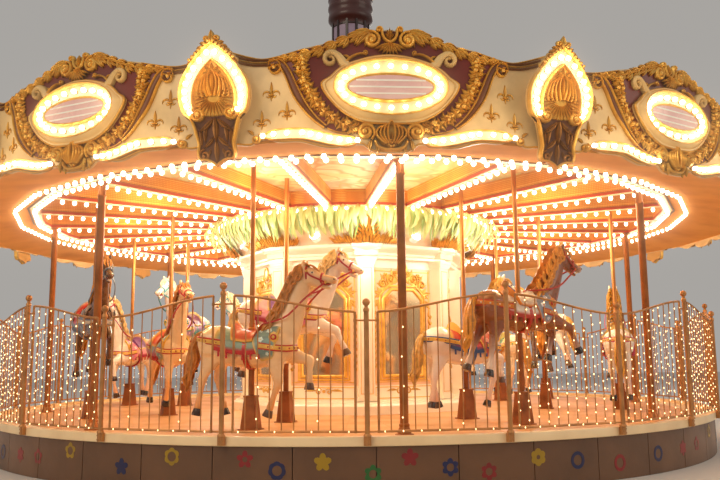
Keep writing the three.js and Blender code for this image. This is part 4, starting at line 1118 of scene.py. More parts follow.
steps = np.linspace(0, BOARD_SIDE, 33)
top_line = np.column_stack([steps, np.interp(steps, *through(BOARD_TOP, 60).T)])
bottom_line = np.column_stack([steps, np.interp(steps, *through(BOARD_BOTTOM, 60).T)])
shield_edge = through([(0.955, 3.145), (0.905, 3.11), (0.854, 3.047), (0.789, 2.898), (0.711, 2.736),
                       (0.64, 2.645), (0.548, 2.572), (0.46, 2.535), (0.378, 2.524), (0.29, 2.54),
                       (0.211, 2.568)], 40)
at = np.linspace(0, SHIELD_END, 34)
shield_low = np.interp(at, *np.concatenate([[(0, 2.61), (0.1, 2.6)], shield_edge[::-1]]).T)
shield_high = np.maximum(np.interp(at, *top_line.T) - SHIELD_MARGIN, shield_low + 0.002)
fields = [flat_between(top_line, bottom_line, -BOARD_THICK, 0.0, BOARD_CREAM),
          flat_between(np.column_stack([at, shield_high]), np.column_stack([at, shield_low]), -0.002, 0.006,
                       MAROON)]
board_paint = coated("board_paint", None, 0.42, "3a1208", 0.35, 2.6, 0.016, coat=0.08)
piece("board_fields", repeated(fields), board_paint, "board_paint", crease=30,
      replaces=[f"rounding_boards_{i + 1}" for i in range(6)])

# Cartouches: a cream moulded frame with ears and shoulders round an oval channel of bulbs, and in the
# channel's middle a raised oval mirror with three white lines.
CARTOUCHE_Y = 2.9
CHANNEL = (0.457, 0.235)
MIRROR_OVAL = (0.35, 0.105)
MIRROR_LINE_HALF = 0.007
# GLOW_CREAM, paler than the frame, is for the beds of the bulb channels: the bulbs' light painted into the
# cream.
FRAME_CREAM, GLOW_CREAM = map(colour, ("f7cf8a", "ffedc4"))
FRAME_PROFILE = [(0, 0.0), (0, 0.04), (0.1, 0.058), (0.24, 0.06), (0.34, 0.048), (0.62, 0.066), (0.84, 0.086),
                 (1.0, 0.088), (1.0, 0.0)]


def whole(right_half):
    """The outline whose right half is given from top to bottom, with its left half added."""
    right_half = np.asarray(right_half, float)
    left = right_half[::-1] * (-1, 1)
    return np.concatenate([right_half, left[np.abs(left[:, 0]) > 1e-6]])


def oval(half_width, half_height, angles=90 - 7.5 * np.arange(48)):
    """Points of an ellipse in the middle of the cartouche, at angles in degrees, or all round it from the
    top."""
    turn = np.radians(angles)
    return np.column_stack([half_width * np.cos(turn), CARTOUCHE_Y + half_height * np.sin(turn)])


def ring_between(outer, inner, profile, paint=WHITE):
    """A closed ring between two outlines with as many points each: a profile of (share inwards, height)."""
    spots = [level(outer + (inner - outer) * share, out) for share, out in profile]
    return skin(np.stack(spots, 1), True, paint=paint)


def disc(outline, low, high, paint, rim=0.0):
    """A closed plate with its front edge rounded by a rim."""
    middle = outline.mean(0)
    rings = [level(outline, low), level(outline, high - rim),
             level(outline + rim * unit(middle - outline), high)]
    return skin(rings, tips=[(*middle, low), (*middle, high)], paint=paint)


def ball_on(spot, size, base):
    """A round bead on a drawing."""
    bead = turned([(0, -0.5), (1, -0.1), (0.7, 0.7), (0, 1)], ring_plan(6))
    return copies(bead, [(*spot, base + size / 2)], size)


frame_edge = through([(0, 3.181), (0.13, 3.167), (0.268, 3.13), (0.37, 3.088), (0.44, 3.04), (0.49, 2.988),
                      (0.54, 2.955), (0.566, 2.926), (0.548, 2.87), (0.51, 2.815), (0.46, 2.755),
                      (0.396, 2.693), (0.32, 2.645), (0.229, 2.608), (0.12, 2.596), (0, 2.593)], 34)
frame_outline = whole(frame_edge)
oval_angles = np.degrees(np.arctan2((frame_outline[:, 1] - CARTOUCHE_Y) / CHANNEL[1],
                                    frame_outline[:, 0] / CHANNEL[0]))
horn_line = np.concatenate([through([(0.34, 3.075), (0.385, 3.115), (0.42, 3.165), (0.462, 3.198)], 8),
                            spiral((0.492, 3.144), 0.062, 0.016, 118, -430, 16)[1:]])
horn_width = np.concatenate([np.linspace(0.05, 0.022, 12), np.linspace(0.021, 0.01, len(horn_line) - 12)])
horn = ridge(horn_line, horn_width, np.linspace(0.055, 0.045, len(horn_line)), base=0.006, paint=FRAME_CREAM)
frames = mirrored([horn]) + [
    ring_between(frame_outline, oval(*CHANNEL, oval_angles), FRAME_PROFILE, FRAME_CREAM),
    disc(oval(CHANNEL[0] + 0.004, CHANNEL[1] + 0.004), 0.0, 0.034, GLOW_CREAM, 0.002)]
piece("cartouche_frames", repeated(frames, both=False), board_paint, "board_paint", crease=42)
piece("cartouche_mirrors", repeated([disc(oval(*MIRROR_OVAL), 0.03, 0.062, WHITE, 0.004)], both=False),
      coated("cartouche_mirror", "fbcfc8", 0.22, "cf9498", 0.6, 3.5, 0.0, metallic=0.05, coat=0.4),
      "mirror_glass")
bars = []
for off in (-0.056, 0.0, 0.056):
    reach = MIRROR_OVAL[0] * math.sqrt(1 - (off / MIRROR_OVAL[1]) ** 2) - 0.012
    line = rectangle(-reach, reach,
                     CARTOUCHE_Y + off - MIRROR_LINE_HALF, CARTOUCHE_Y + off + MIRROR_LINE_HALF)
    bars.append(skin([level(line, 0.06), level(line, 0.065)]))
piece("cartouche_mirror_lines", repeated(bars, both=False),
      coated("mirror_lines", "fffaf0", 0.3, "f0dcc0", 0.3, 8.0, 0.0), "mirror_glass")

# Gold relief of the cartouches: moulded acanthus, scrolls and a shell, gilded. A crest stands over each
# frame, leaves run down the crest's shoulders, garlands hang on both sides of the oval, and a shell closes it
# below.
lyre = np.concatenate([through([(0.0, 3.298), (0.04, 3.325), (0.062, 3.375), (0.062, 3.41)], 6),
                       spiral((0.088, 3.408), 0.027, 0.007, 178, -420, 11)[1:]])
# Leaves that follow the crest's shoulder: s, height, slope, size
CREST_RUN = [(0.24, 3.372, -20, 0.15), (0.345, 3.335, -23, 0.14), (0.45, 3.29, -24, 0.135),
             (0.555, 3.243, -21, 0.13), (0.66, 3.206, -15, 0.12), (0.76, 3.183, -9, 0.105),
             (0.85, 3.172, -2, 0.08)]
crest = [ridge(lyre, np.linspace(0.016, 0.009, len(lyre)), 0.036, base=0.014),
         ball_on((0.15, 3.322), 0.022, 0.02), ball_on((0.088, 3.408), 0.012, 0.02),
         ridge_through([(0.19, 3.385), (0.3, 3.352), (0.42, 3.3), (0.54, 3.248), (0.68, 3.196), (0.83, 3.165),
                        (0.93, 3.18)], 12, 0.012, 0.024, 0.006),
         ridge_through([(0.19, 3.188), (0.25, 3.196), (0.32, 3.165), (0.372, 3.112), (0.38, 3.085)], 10,
                       np.linspace(0.006, 0.017, 10), 0.036, 0.016)]
crest += scroll((0.15, 3.322), 0.076, 0.016, 80, 560, 0.021, 0.044, 22, 0.012)
crest += scroll((0.205, 3.207), 0.022, 0.007, 270, -380, 0.008, 0.03, 12, 0.016)
crest += [leaf((0.0, 3.325), heading, length, 0.03, 0, 0.044, 0.014)
          for heading, length in ((76, 0.09), (56, 0.07))]
crest += [leaf((0.0, 3.285), heading, length, 0.036, 0, 0.04, 0.028)
          for heading, length in ((-72, 0.105), (-54, 0.115), (-36, 0.125), (-20, 0.14))]
crest += [leaf((0.15, 3.395), heading, length, 0.06, curl, 0.04, 0.012)
          for heading, length, curl in ((8, 0.17, -24), (-14, 0.2, -14), (-36, 0.19, -18), (-60, 0.15, -14))]
crest += [leaf((s, height), slope + lean, size * share, 0.05, curl, 0.036, 0.012)
          for s, height, slope, size in CREST_RUN
          for lean, share, curl in ((28, 0.8, -28), (4, 1.0, -6), (-26, 0.95, 18), (-54, 0.78, 30))]


def lush(points, count, size, seed):
    """A dense garland: at every step four leaves of varied length and lean, and a berry or two."""
    random = np.random.default_rng(seed)
    path = through(points, count)
    step = np.gradient(path, axis=0)
    heading = np.degrees(np.arctan2(step[:, 1], step[:, 0]))
    made = [ridge(path, 0.016, 0.014, base=0.006)]
    for i in range(count - 1):
        for lean in (-70, -24, 24, 70):
            turn = lean + random.uniform(-14, 14)
            grow = size * random.uniform(0.8, 1.3)
            made.append(leaf(path[i], heading[i] + turn, grow, grow * 0.58, math.copysign(60, lean),
                             0.022 + 0.018 * random.random(), 0.01 + 0.008 * random.random(), 3, SMALL_LEAF))
        for _ in range(1 + i % 2):
            made.append(ball_on(path[i] + random.uniform(-0.03, 0.03, 2), 0.012 + 0.01 * random.random(),
                                0.026))
    return made


garland = lush([(0.735, 3.16), (0.728, 3.05), (0.69, 2.91), (0.61, 2.775), (0.5, 2.668), (0.37, 2.59),
                (0.265, 2.56)], 19, 0.074, 5) + rosette((0.735, 3.14), 0.036, 6, 0.034, 0.01)
shell = [ridge_through([(0.012 + 0.012 * k, 2.425), (0.03 + 0.03 * k, 2.5),
                        (0.024 + 0.024 * k, 2.575 - 0.004 * k), (0.004 + 0.008 * k, 2.612 - 0.016 * k)], 8,
                       0.011, 0.05 - 0.004 * k, 0.03) for k in range(4)]
shell += scroll((0.205, 2.53), 0.08, 0.014, 235, -600, 0.024, 0.05, 19, 0.014)
shell += [ridge_through([(0.13, 2.455), (0.11, 2.41), (0.055, 2.386), (0, 2.384)], 7, 0.016, 0.036, 0.012)]
# Single leaves of each half: root, heading, length, width, curl, thickness, height of the root
half_leaves = [((0.33, 3.155), 40, 0.07, 0.03, -30, 0.03, 0.014),
               ((0.16, 2.462), -62, 0.1, 0.046, -40, 0.03, 0.012),
               ((0.12, 2.425), -112, 0.08, 0.04, 30, 0.03, 0.012),
               ((0.11, 2.4), 200, 0.1, 0.04, -16, 0.03, 0.02),
               ((0.02, 2.4), 60, 0.1, 0.034, 24, 0.046, 0.03),
               ((0.235, 2.612), 20, 0.1, 0.045, -40, 0.03, 0.012),
               ((0.565, 2.93), 128, 0.075, 0.026, 20, 0.02, 0.034),
               ((0.566, 2.92), 232, 0.09, 0.026, -16, 0.02, 0.034)]
centre_leaves = [((0.0, 3.29), -90, 0.1, 0.044, 0, 0.045, 0.028),
                 ((0.0, 3.315), 90, 0.115, 0.036, 0, 0.05, 0.014),
                 ((0.0, 2.42), 90, 0.13, 0.036, 0, 0.06, 0.024)]
relief = crest + garland + shell + leaves(half_leaves) + [ridge(frame_edge, 0.009, 0.022, base=0.034)]
shell_back = whole([(0, 2.628), (0.045, 2.612), (0.09, 2.575), (0.12, 2.525), (0.118, 2.47), (0.08, 2.42),
                    (0, 2.392)])
centre_relief = leaves(centre_leaves) + rosette((0.0, 2.43), 0.04, 7, 0.055, 0.02)
centre_relief += rosette((0.0, 3.275), 0.02, 6, 0.06, 0.02)
# The dome behind the shell's ribs takes 0.6 of the gold: painted shade between the ribs.
centre_relief += [ball_on((0.0, 2.612), 0.02, 0.03), disc(shell_back, 0.0, 0.042, (0.6, 0.6, 0.6), 0.03),
                  ring_between(oval(0.372, 0.127), oval(0.346, 0.101),
                               [(0, 0.03), (0, 0.06), (0.35, 0.072), (0.7, 0.07), (1, 0.058), (1, 0.03)]),
                  ring_between(oval(0.47, 0.248), oval(0.452, 0.23),
                               [(0, 0.07), (0, 0.088), (0.4, 0.098), (1, 0.09), (1, 0.07)])]
bright_gold = gilded("board_gold", "f8c25c", "b87228")
piece("cartouche_gilding", repeated(relief) + repeated(centre_relief, both=False), bright_gold,
      "gold_ornament", crease=50)

# Mouldings and lilies of the cream fields: dark scrolls edged with gold that frame the shield, a double rail
# along the top, gilded lilies, and a bead along both edges of the boards.
LILY_SIZE = 0.115
scroll_line = np.concatenate([spiral((0.968, 3.09), 0.016, 0.056, 20, -350, 13),
                              through([(0.925, 3.138), (0.882, 3.092), (0.838, 3.01), (0.8, 2.915),
                                       (0.752, 2.815), (0.69, 2.72), (0.615, 2.635), (0.535, 2.57)], 16)])
scroll_half = np.concatenate([np.linspace(0.012, 0.026, 13), np.linspace(0.027, 0.034, 8),
                              np.linspace(0.034, 0.014, 8)])
rail_line = through([(0.865, 3.16), (1.0, 3.175), (1.149, 3.185), (1.26, 3.215), (1.345, 3.245)], 9)
dark_lines = [ridge(scroll_line, scroll_half, 0.026), ridge(rail_line - (0, 0.012), 0.011, 0.02),
              ridge(rail_line - (0, 0.056), 0.011, 0.02)]
piece("board_dark_mouldings", repeated(dark_lines),
      coated("dark_moulding", "6e3c1c", 0.45, "351a0c", 0.4, 7.0, 0.012, coat=0.05), "board_paint", crease=50)


def beside(path, offset):
    """The path shifted sideways by an offset along its own normal."""
    return path + np.reshape(offset, (-1, 1)) * square_to(path)


def lily(x, y, size):
    """A fleur-de-lis: a slender middle petal, two that curl outwards, a band, and a foot of three short
    petals."""
    low = y - size * 0.1
    made = [leaf((x, y), 90, size * 0.95, size * 0.28, 0, 0.02, 0.002),
            leaf((x, low), -90, size * 0.4, size * 0.17, 0, 0.014, 0.002, 4, SMALL_LEAF),
            ridge([(x + side * size * 0.2, y - size * 0.05) for side in (-1, 0, 1)], size * 0.055, 0.024,
                  base=0.002)]
    for side in (-1, 1):
        made += [leaf((x + side * size * 0.07, y), 90 - side * 8, size * 0.95, size * 0.2, -side * 190, 0.018,
                      0.002, 8, SMALL_LEAF),
                 leaf((x + side * size * 0.04, low), -90 + side * 30, size * 0.46, size * 0.16, side * 130,
                      0.013, 0.002, 5, SMALL_LEAF)]
    return made


thin_gold = [ridge(beside(scroll_line, scroll_half - 0.002), 0.01, 0.036),
             ball_on((0.968, 3.09), 0.017, 0.022),
             ridge(beside(scroll_line[10:], 0.002 - scroll_half[10:]), 0.01, 0.036),
             ridge_through([(0.52, 2.562), (0.46, 2.535), (0.378, 2.522), (0.3, 2.532), (0.25, 2.55)], 8,
                           0.008, 0.022),
             ridge(rail_line - (0, 0.034), 0.006, 0.016), ridge(bottom_line + (0, 0.01), 0.008, 0.016),
             ridge(top_line[16:] - (0, 0.01), 0.008, 0.016), ball_on((1.115, 2.49), 0.018, 0.02),
             leaf((1.14, 2.53), 60, 0.07, 0.034, -50, 0.02, 0.004)]
for x, y in ((0.99, 2.865), (0.855, 2.69), (1.07, 2.625)):
    thin_gold += lily(x, y, LILY_SIZE)
thin_gold += scroll((1.115, 2.49), 0.044, 0.01, 120, 470, 0.014, 0.03, 15, 0.004)
piece("board_gilding", repeated(thin_gold), bright_gold, "gold_ornament", crease=50)

# Bulb strips: wavy cream channels with gold rims under each cartouche, and the bulbs of the boards in their
# cups.
BOARD_BULB = 0.024
BOARD_BULB_LIFT = 1.3 * BOARD_BULB
OVAL_BULBS = 22
STRIP_HALF = 0.044
strip_line = through([(0.275, 2.452), (0.38, 2.452), (0.5, 2.468), (0.62, 2.495), (0.72, 2.512),
                      (0.91, 2.518), (1.05, 2.505)], 18)
strip_half = STRIP_HALF * np.sqrt(np.clip(1 - np.linspace(-1, 1, len(strip_line)) ** 8, 0.02, 1))
strip_edges = beside(strip_line, strip_half), beside(strip_line, -strip_half)
# The strip beds take GLOW_CREAM: the bulbs' light painted into them.
piece("bulb_strip_beds", repeated([flat_between(*strip_edges, -0.002, 0.012, GLOW_CREAM)]), board_paint,
      "board_paint")
piece("bulb_strip_rims", repeated([ridge(edge, 0.008, 0.034) for edge in strip_edges]), bright_gold,
      "gold_ornament", crease=50)
face_globe, face_cup = (closed(points * (1, 1, -1), faces) for points, faces, _ in (globe, cup))


def bulb_pieces(name, spots, place):
    """Bulbs and their cups at spots of a flat drawing, which is then placed on the ride."""
    piece(name + "_bulbs", place([copies(face_globe, spots, BOARD_BULB)]), bulb_glow, "bulb_glass")
    piece(name + "_bulb_cups", place([copies(face_cup, spots, BOARD_BULB)]), brass_cup, "gold_ornament")


strip_spots = through(strip_line, 10)
oval_spots = oval((CHANNEL[0] + MIRROR_OVAL[0]) / 2 + 0.006, (CHANNEL[1] + MIRROR_OVAL[1]) / 2 + 0.008,
                  90 - 360 / OVAL_BULBS * np.arange(OVAL_BULBS))
board_spots = np.concatenate([level(strip_spots, 0.012), level(strip_spots * (-1, 1), 0.012),
                              level(oval_spots, 0.034)])
bulb_pieces("board", board_spots + (0, 0, BOARD_BULB_LIFT), lambda shapes: repeated(shapes, both=False))

# Ogives: pointed boards that lean outwards over each joint between two cartouches. A dark rim holds a pointed
# channel of bulbs round a gilded shell, a dark pendant with volutes hangs below and a leafy crown stands on
# top.
OGIVE_LEAN = math.radians(11)
OGIVE_FOOT_RADIUS, OGIVE_FOOT_Z = 5.47, DECK_TOP + 2.27
OGIVE_BULBS = 9
BOARD_SHADE, OGIVE_DARK = map(colour, ("dcae6c", "6a3c20"))
ogive_half = through([(0, 1.03), (0.062, 0.99), (0.128, 0.935), (0.192, 0.862), (0.25, 0.78), (0.292, 0.7),
                      (0.308, 0.62), (0.302, 0.53), (0.275, 0.45), (0.222, 0.405), (0.195, 0.345),
                      (0.176, 0.27), (0.158, 0.19), (0.168, 0.12), (0.15, 0.062), (0.095, 0.055),
                      (0.045, 0.035), (0, 0.0)], 38)
shell_half = through([(0, 0.88), (0.075, 0.812), (0.135, 0.735), (0.172, 0.65), (0.185, 0.57), (0.176, 0.49),
                      (0.13, 0.43), (0, 0.415)], 20)
bulb_half = through([(0, 0.965), (0.095, 0.88), (0.17, 0.795), (0.222, 0.71), (0.244, 0.62), (0.238, 0.53),
                     (0.205, 0.458)], 40)


def on_ogives(shapes):
    """Flat drawings (x, y, out) stood on the leaning faces of all twelve ogives."""
    made = []
    for points, faces, paint in shapes:
        x, y, out = points.T
        radius = OGIVE_FOOT_RADIUS + y * math.sin(OGIVE_LEAN) + out * math.cos(OGIVE_LEAN)
        height = OGIVE_FOOT_Z + y * math.cos(OGIVE_LEAN) - out * math.sin(OGIVE_LEAN)
        made.append(around((np.column_stack([x, -radius, height]), faces, paint), REPEAT_ANGLES + 15))
    return made


def inset(outline, by):
    """A closed outline drawn in by a distance, square to the line between each point's neighbours."""
    along = unit(np.roll(outline, -1, 0) - np.roll(outline, 1, 0))
    return outline + by * np.column_stack([along[:, 1], -along[:, 0]])


ogive_outline, shell_outline = whole(ogive_half), whole(shell_half)
channel_outline = whole([*ogive_half[ogive_half[:, 1] > 0.435], (0.262, 0.425), (0.14, 0.405), (0, 0.4)])
lower_half = ogive_half[ogive_half[:, 1] < 0.445]
pendant_outline = np.concatenate([[(0, 0.44)], lower_half, (lower_half * (-1, 1))[::-1][1:]])
# The bulb channel's bed takes GLOW_CREAM, with the bulbs' light painted in.
backs = [disc(ogive_outline, -0.034, 0.0, BOARD_SHADE, 0.003),
         disc(inset(channel_outline, 0.01), -0.002, 0.008, GLOW_CREAM, 0.002),
         disc(inset(pendant_outline, 0.012), -0.002, 0.01, OGIVE_DARK, 0.002),
         disc(inset(shell_outline, -0.014), 0.0, 0.014, OGIVE_DARK, 0.004)]
piece("ogive_boards", on_ogives(backs), board_paint, "board_paint", crease=40)
halves = [ridge_through([(0.004 + 0.006 * k, 0.795 - 0.006 * k), (0.03 + 0.026 * k, 0.752 - 0.012 * k),
                         (0.036 + 0.034 * k, 0.67 - 0.022 * k), (0.014 + 0.036 * k, 0.58 - 0.004 * k)], 7,
                        np.linspace(0.008, 0.016, 7), 0.048 - 0.006 * k, 0.016) for k in range(4)]
halves += [leaf((0.012, 0.77), 68 - 44 * k, 0.072, 0.038, -50, 0.045, 0.022) for k in range(3)]
halves += [leaf((0.055 * math.sin(math.radians(a)), 0.575 - 0.045 * math.cos(math.radians(a))), a - 90, 0.118,
                0.024, 0, 0.042, 0.02, 4, SMALL_LEAF) for a in range(0, 125, 12)]
halves += scroll((0.14, 0.44), 0.072, 0.014, 120, -560, 0.02, 0.056, 17, 0.01)
halves += (scroll((0.045, 1.05), 0.03, 0.008, 250, -430, 0.011, 0.034, 14)
           + [ball_on((0.14, 0.44), 0.026, 0.03)])
for k in range(7):
    root = np.array([0.012 + 0.028 * k, 1.012 - 0.024 * k])
    halves += [leaf(root, 78 - 13 * k, 0.086 - 0.006 * k, 0.054, -80, 0.04, -0.002),
               leaf(root, 8 - 12 * k, 0.07 - 0.004 * k, 0.044, 60, 0.034, 0.0, 4),
               ball_on(root + (0.01, 0.018), 0.015, 0.036)]
shell_path = np.concatenate([shell_half[:16][::-1] * (-1, 1), shell_half[1:16]])
ogive_gold = [disc(shell_outline, 0.0, 0.026, WHITE, 0.012), ridge(shell_path, 0.013, 0.052),
              ring_between(ogive_outline, inset(ogive_outline, 0.02),
                           [(0, -0.01), (0, 0.03), (0.35, 0.046), (1, 0.034), (1, 0)]),
              leaf((0, 0.775), -90, 0.2, 0.05, 0, 0.06, 0.018),
              leaf((0, 0.775), 90, 0.075, 0.045, 0, 0.05, 0.02),
              leaf((0, 1.01), 90, 0.115, 0.07, 0, 0.05, -0.004)]
ogive_gold += mirrored(halves) + rosette((0, 1.03), 0.032, 6, 0.045, 0.002)
piece("ogive_gilding", on_ogives(ogive_gold), bright_gold, "gold_ornament", crease=50)
pendant_half = leaves([((0.02, 0.395), -52, 0.17, 0.06, 30, 0.04, 0.004),
                       ((0.08, 0.36), -78, 0.17, 0.05, -14, 0.036, 0.002),
                       ((0.135, 0.31), -98, 0.15, 0.042, 10, 0.03, 0.002),
                       ((0.02, 0.25), -58, 0.14, 0.05, 34, 0.034, 0.002),
                       ((0.05, 0.15), -70, 0.11, 0.045, 40, 0.03, 0.002)])
pendant = mirrored(pendant_half + scroll((0.105, 0.1), 0.054, 0.012, 90, -500, 0.017, 0.034, 16, 0.002))
pendant += [leaf((0, 0.4), -90, 0.2, 0.07, 0, 0.05, 0.004), leaf((0, 0.21), -90, 0.19, 0.06, 0, 0.04, 0.002)]
# The pendants' gold is darker than the rest of the gilding: partly their own darker gold, partly painted
# shade, as if they hung unlit.
piece("ogive_pendants", on_ogives(pendant), gilded("pendant_gold_and_painted_shade", "b87c3c", "5a3014", 0.7), "gold_ornament",
      crease=50)
right_bulbs = through(bulb_half, 2 * OGIVE_BULBS)[1::2]
ogive_spots = np.concatenate([right_bulbs, right_bulbs * (-1, 1)])
bulb_pieces("ogive", level(ogive_spots, 0.008 + BOARD_BULB_LIFT), on_ogives)

# Roof: 24 gores of dark red glass fibre over rafters, with cream welts along the joints. Each gore is dished
# a little between its rafters and ends at a bead behind the boards, and all meet under the lantern's foot.
ROOF_FOOT_RADIUS, ROOF_EYE = 5.464, 0.43
ROOF_FOOT_Z, ROOF_TOP_Z = 3.4655, 5.44
ROOF_THICK = 0.012
GORE_ROWS, GORE_STEPS = 22, 8
GORE_SAG = 0.022


def on_joint(share, lift=0.0):
    """A point on the joint at 7.5 degrees, by its share of the way up the roof."""
    radius = ROOF_FOOT_RADIUS + (ROOF_EYE - ROOF_FOOT_RADIUS) * share
    return polar(radius, RING_TURN, ROOF_FOOT_Z + (ROOF_TOP_Z - ROOF_FOOT_Z) * share + lift)


def gores(drop):
    """The gores' points, lowered by a drop: round the rows the radius has 24 flat sides, and each gore
    sags."""
    up, step = np.meshgrid(np.linspace(0, 1, GORE_ROWS), np.arange(SWEEPS * GORE_STEPS), indexing="ij")
    share = step % GORE_STEPS / GORE_STEPS
    radius = ROOF_FOOT_RADIUS + (ROOF_EYE - ROOF_FOOT_RADIUS) * up
    flat = radius * math.cos(math.radians(7.5)) / np.cos(np.radians(15 * (share - 0.5)))
    sag = GORE_SAG * np.sin(np.pi * share) * np.sin(np.pi * np.clip(up * 1.05, 0, 1)) ** 0.6
    return polar(flat, RING_TURN + 15 * step / GORE_STEPS, ROOF_FOOT_Z + (ROOF_TOP_Z - ROOF_FOOT_Z) * up - sag
                 - drop)


def make_roof_skin():
    """Weathered gelcoat: the glass mat shows as a fine relief, and pale streaks run down the slope."""
    material = coated("roof_skin", "6a2420", 0.62, "3c1412", 0.55, 0.9, 0.02)
    tree = material.node_tree
    group = tree.nodes["Group"]
    spot = object_spot(tree)
    flow = node(tree, "ShaderNodeMapping", {"Vector": spot, "Scale": (1.0, 1.0, 0.12)})
    streaks = spread(tree, noise(tree, flow.outputs[0], 5.0, 6.0)[0], 0.45, 0.75)
    feed(tree, group.inputs["Colour"], mixed(tree, streaks, "6a2420", "8a4038"))
    relief = calc(tree, "ADD", group.outputs["Height"], noise(tree, spot, 160.0, 2.0)[0])
    feed(tree, tree.nodes["Bump"].inputs["Height"], relief)
    return material


piece("roof_gores", [skin(np.concatenate([gores(0.0), gores(ROOF_THICK)[::-1]]), loop=True)],
      make_roof_skin(), "roof_skin", crease=30, replaces=["roof"])
welt_paint = coated("roof_welts", "e2cfa4", 0.55, "8a6a44", 0.5, 3.0, 0.02)
welts = [around(rod(on_joint(0.004, 0.003), on_joint(0.995, 0.003), 0.013, 6), joint_angles)]
for share in (0.3, 0.62):
    band = np.array([(-0.012, 0.003), (0.012, -0.006), (0.012, -0.014), (-0.012, -0.009)])
    x, y, z = on_joint(share)
    welts.append(canopy_ring(band + (math.hypot(x, y), z)))
piece("roof_welts", welts, welt_paint, "roof_skin")
bead = canopy_ring([(5.43, 3.486), (5.444, 3.492), (5.457, 3.486), (5.461, 3.474), (5.453, 3.466),
                    (5.436, 3.466)])
piece("roof_foot_bead", [bead], welt_paint, "roof_skin")

# Braces behind the boards: a pair of raking timber struts behind every cartouche keeps the boards upright.
# They run from the canopy's edge to a cleat against the board.
BOARD_BACK = BOARD_FLAT - BOARD_THICK - 0.002
STRUT_FOOT, STRUT_LOW, STRUT_HIGH = 5.02, 3.63, 3.7
struts = []
for x in (-0.46, 0.46):
    struts.append(swept([(x, -STRUT_FOOT, STRUT_LOW), (x, 0.02 - BOARD_BACK, STRUT_HIGH)],
                        chamfered(-0.018, 0.018, -0.022, 0.022, 0.004), X_AXIS, Z_AXIS))
    struts.append(slab(x - 0.03, x + 0.03, 3.47, STRUT_HIGH + 0.06, BOARD_BACK - 0.028, BOARD_BACK))
piece("board_struts", all_around(struts, REPEAT_ANGLES),
      coated("strut_paint", "b98a58", 0.6, "5a3c22", 0.5, 4.0, 0.02), "board_paint")

# Lantern on the roof's eye: a dark red moulded drum with pale panes between dark ribs, a wider banded head
# set with gilt beads, and a domed cap with a ball.
LANTERN_Z = 5.4405
LANTERN_PANES = 12
BAND_RADIUS = 0.286
PANE_HEIGHT = 0.27
LANTERN_RED, LANTERN_DARK = map(colour, ("4a1c16", "2c120e"))
pane_angles = 360 / LANTERN_PANES * np.arange(LANTERN_PANES)
lantern_profile = np.array([(0, 0.001), (0.415, 0.001), (0.42, 0.012), (0.418, 0.045), (0.395, 0.058),
                            (0.315, 0.085), (0.29, 0.1), (0.278, 0.13), (0.278, 0.8), (0.29, 0.835),
                            (0.3, 0.85), (0.33, 0.88), (0.348, 0.905), (0.35, 0.96), (0.34, 0.975),
                            (0.34, 1.06), (0.35, 1.075), (0.35, 1.12), (0.338, 1.135), (0.338, 1.22),
                            (0.35, 1.235), (0.35, 1.325), (0.335, 1.345), (0.29, 1.39), (0.215, 1.46),
                            (0.13, 1.535), (0.06, 1.555), (0.03, 1.562), (0.04, 1.575), (0.03, 1.592),
                            (0, 1.598)])
rib = beam(-0.016, 0.016, 0.27, 0.299, LANTERN_Z + 0.1, LANTERN_Z + 0.845, LANTERN_DARK, 0.004)
lantern = [turned(lantern_profile + (0, LANTERN_Z), ring_plan(48), LANTERN_RED),
           around(rib, pane_angles + 180 / LANTERN_PANES)]
for low, high in ((0.14, 0.17), (0.46, 0.485), (0.77, 0.8)):
    section = (np.array([(-0.02, low), (0, low + 0.006), (0, high - 0.006), (-0.02, high)])
               + (BAND_RADIUS, LANTERN_Z))
    lantern.append(ring_bar(section, 7.5, paint=LANTERN_DARK))
piece("lantern", lantern, coated("lantern_paint", None, 0.38, "1c0c08", 0.4, 4.0, 0.012, coat=0.2),
      "lantern_paint", replaces=["roof_lantern"])
panes = [beam(-0.052, 0.052, 0.262, 0.2785, LANTERN_Z + low, LANTERN_Z + low + PANE_HEIGHT, WHITE, 0.003)
         for low in (0.178, 0.493)]
piece("lantern_panes", all_around(panes, pane_angles),
      coated("lantern_panes", "a08aa0", 0.2, "5a4656", 0.4, 5.0, 0.01, coat=0.3), "lantern_paint")
pearl = copies(turned([(0, -1), (0.7, -0.7), (1, 0), (0.7, 0.7), (0, 1)], ring_plan(8)),
               [(0, -0.346, LANTERN_Z + 1.28)], 0.014)
piece("lantern_beads", [around(pearl, joint_angles)], bright_gold, "gold_ornament")

# Horses: hollow glass-fibre figures under painted gelcoat, sculpted once in two poses and then painted in
# eight liveries. The low ones stand, the high ones leap. Each is drawn facing +X over its pole, with its
# belly at z = 0.
BELLY = DECK_TOP + 0.6
TRAVEL = 0.35
POLE_TOP, POLE_BOTTOM = 2.26, -0.75
SADDLE_Z = 0.395
LEG_APART = 0.095
SKIN_VOXEL, SKIN_SHARE = 0.0135, 0.185
HOOF_BROWN = colour("2c1c14")
MANE_ROOTS = 15
TAIL_LOCKS = 9
STUDS = 9
ROUND = ring_plan(14)
STRAND = np.array([(1.0, -0.3), (0.55, 0.66), (0.0, 0.34), (-0.55, 0.66), (-1.0, -0.3)])
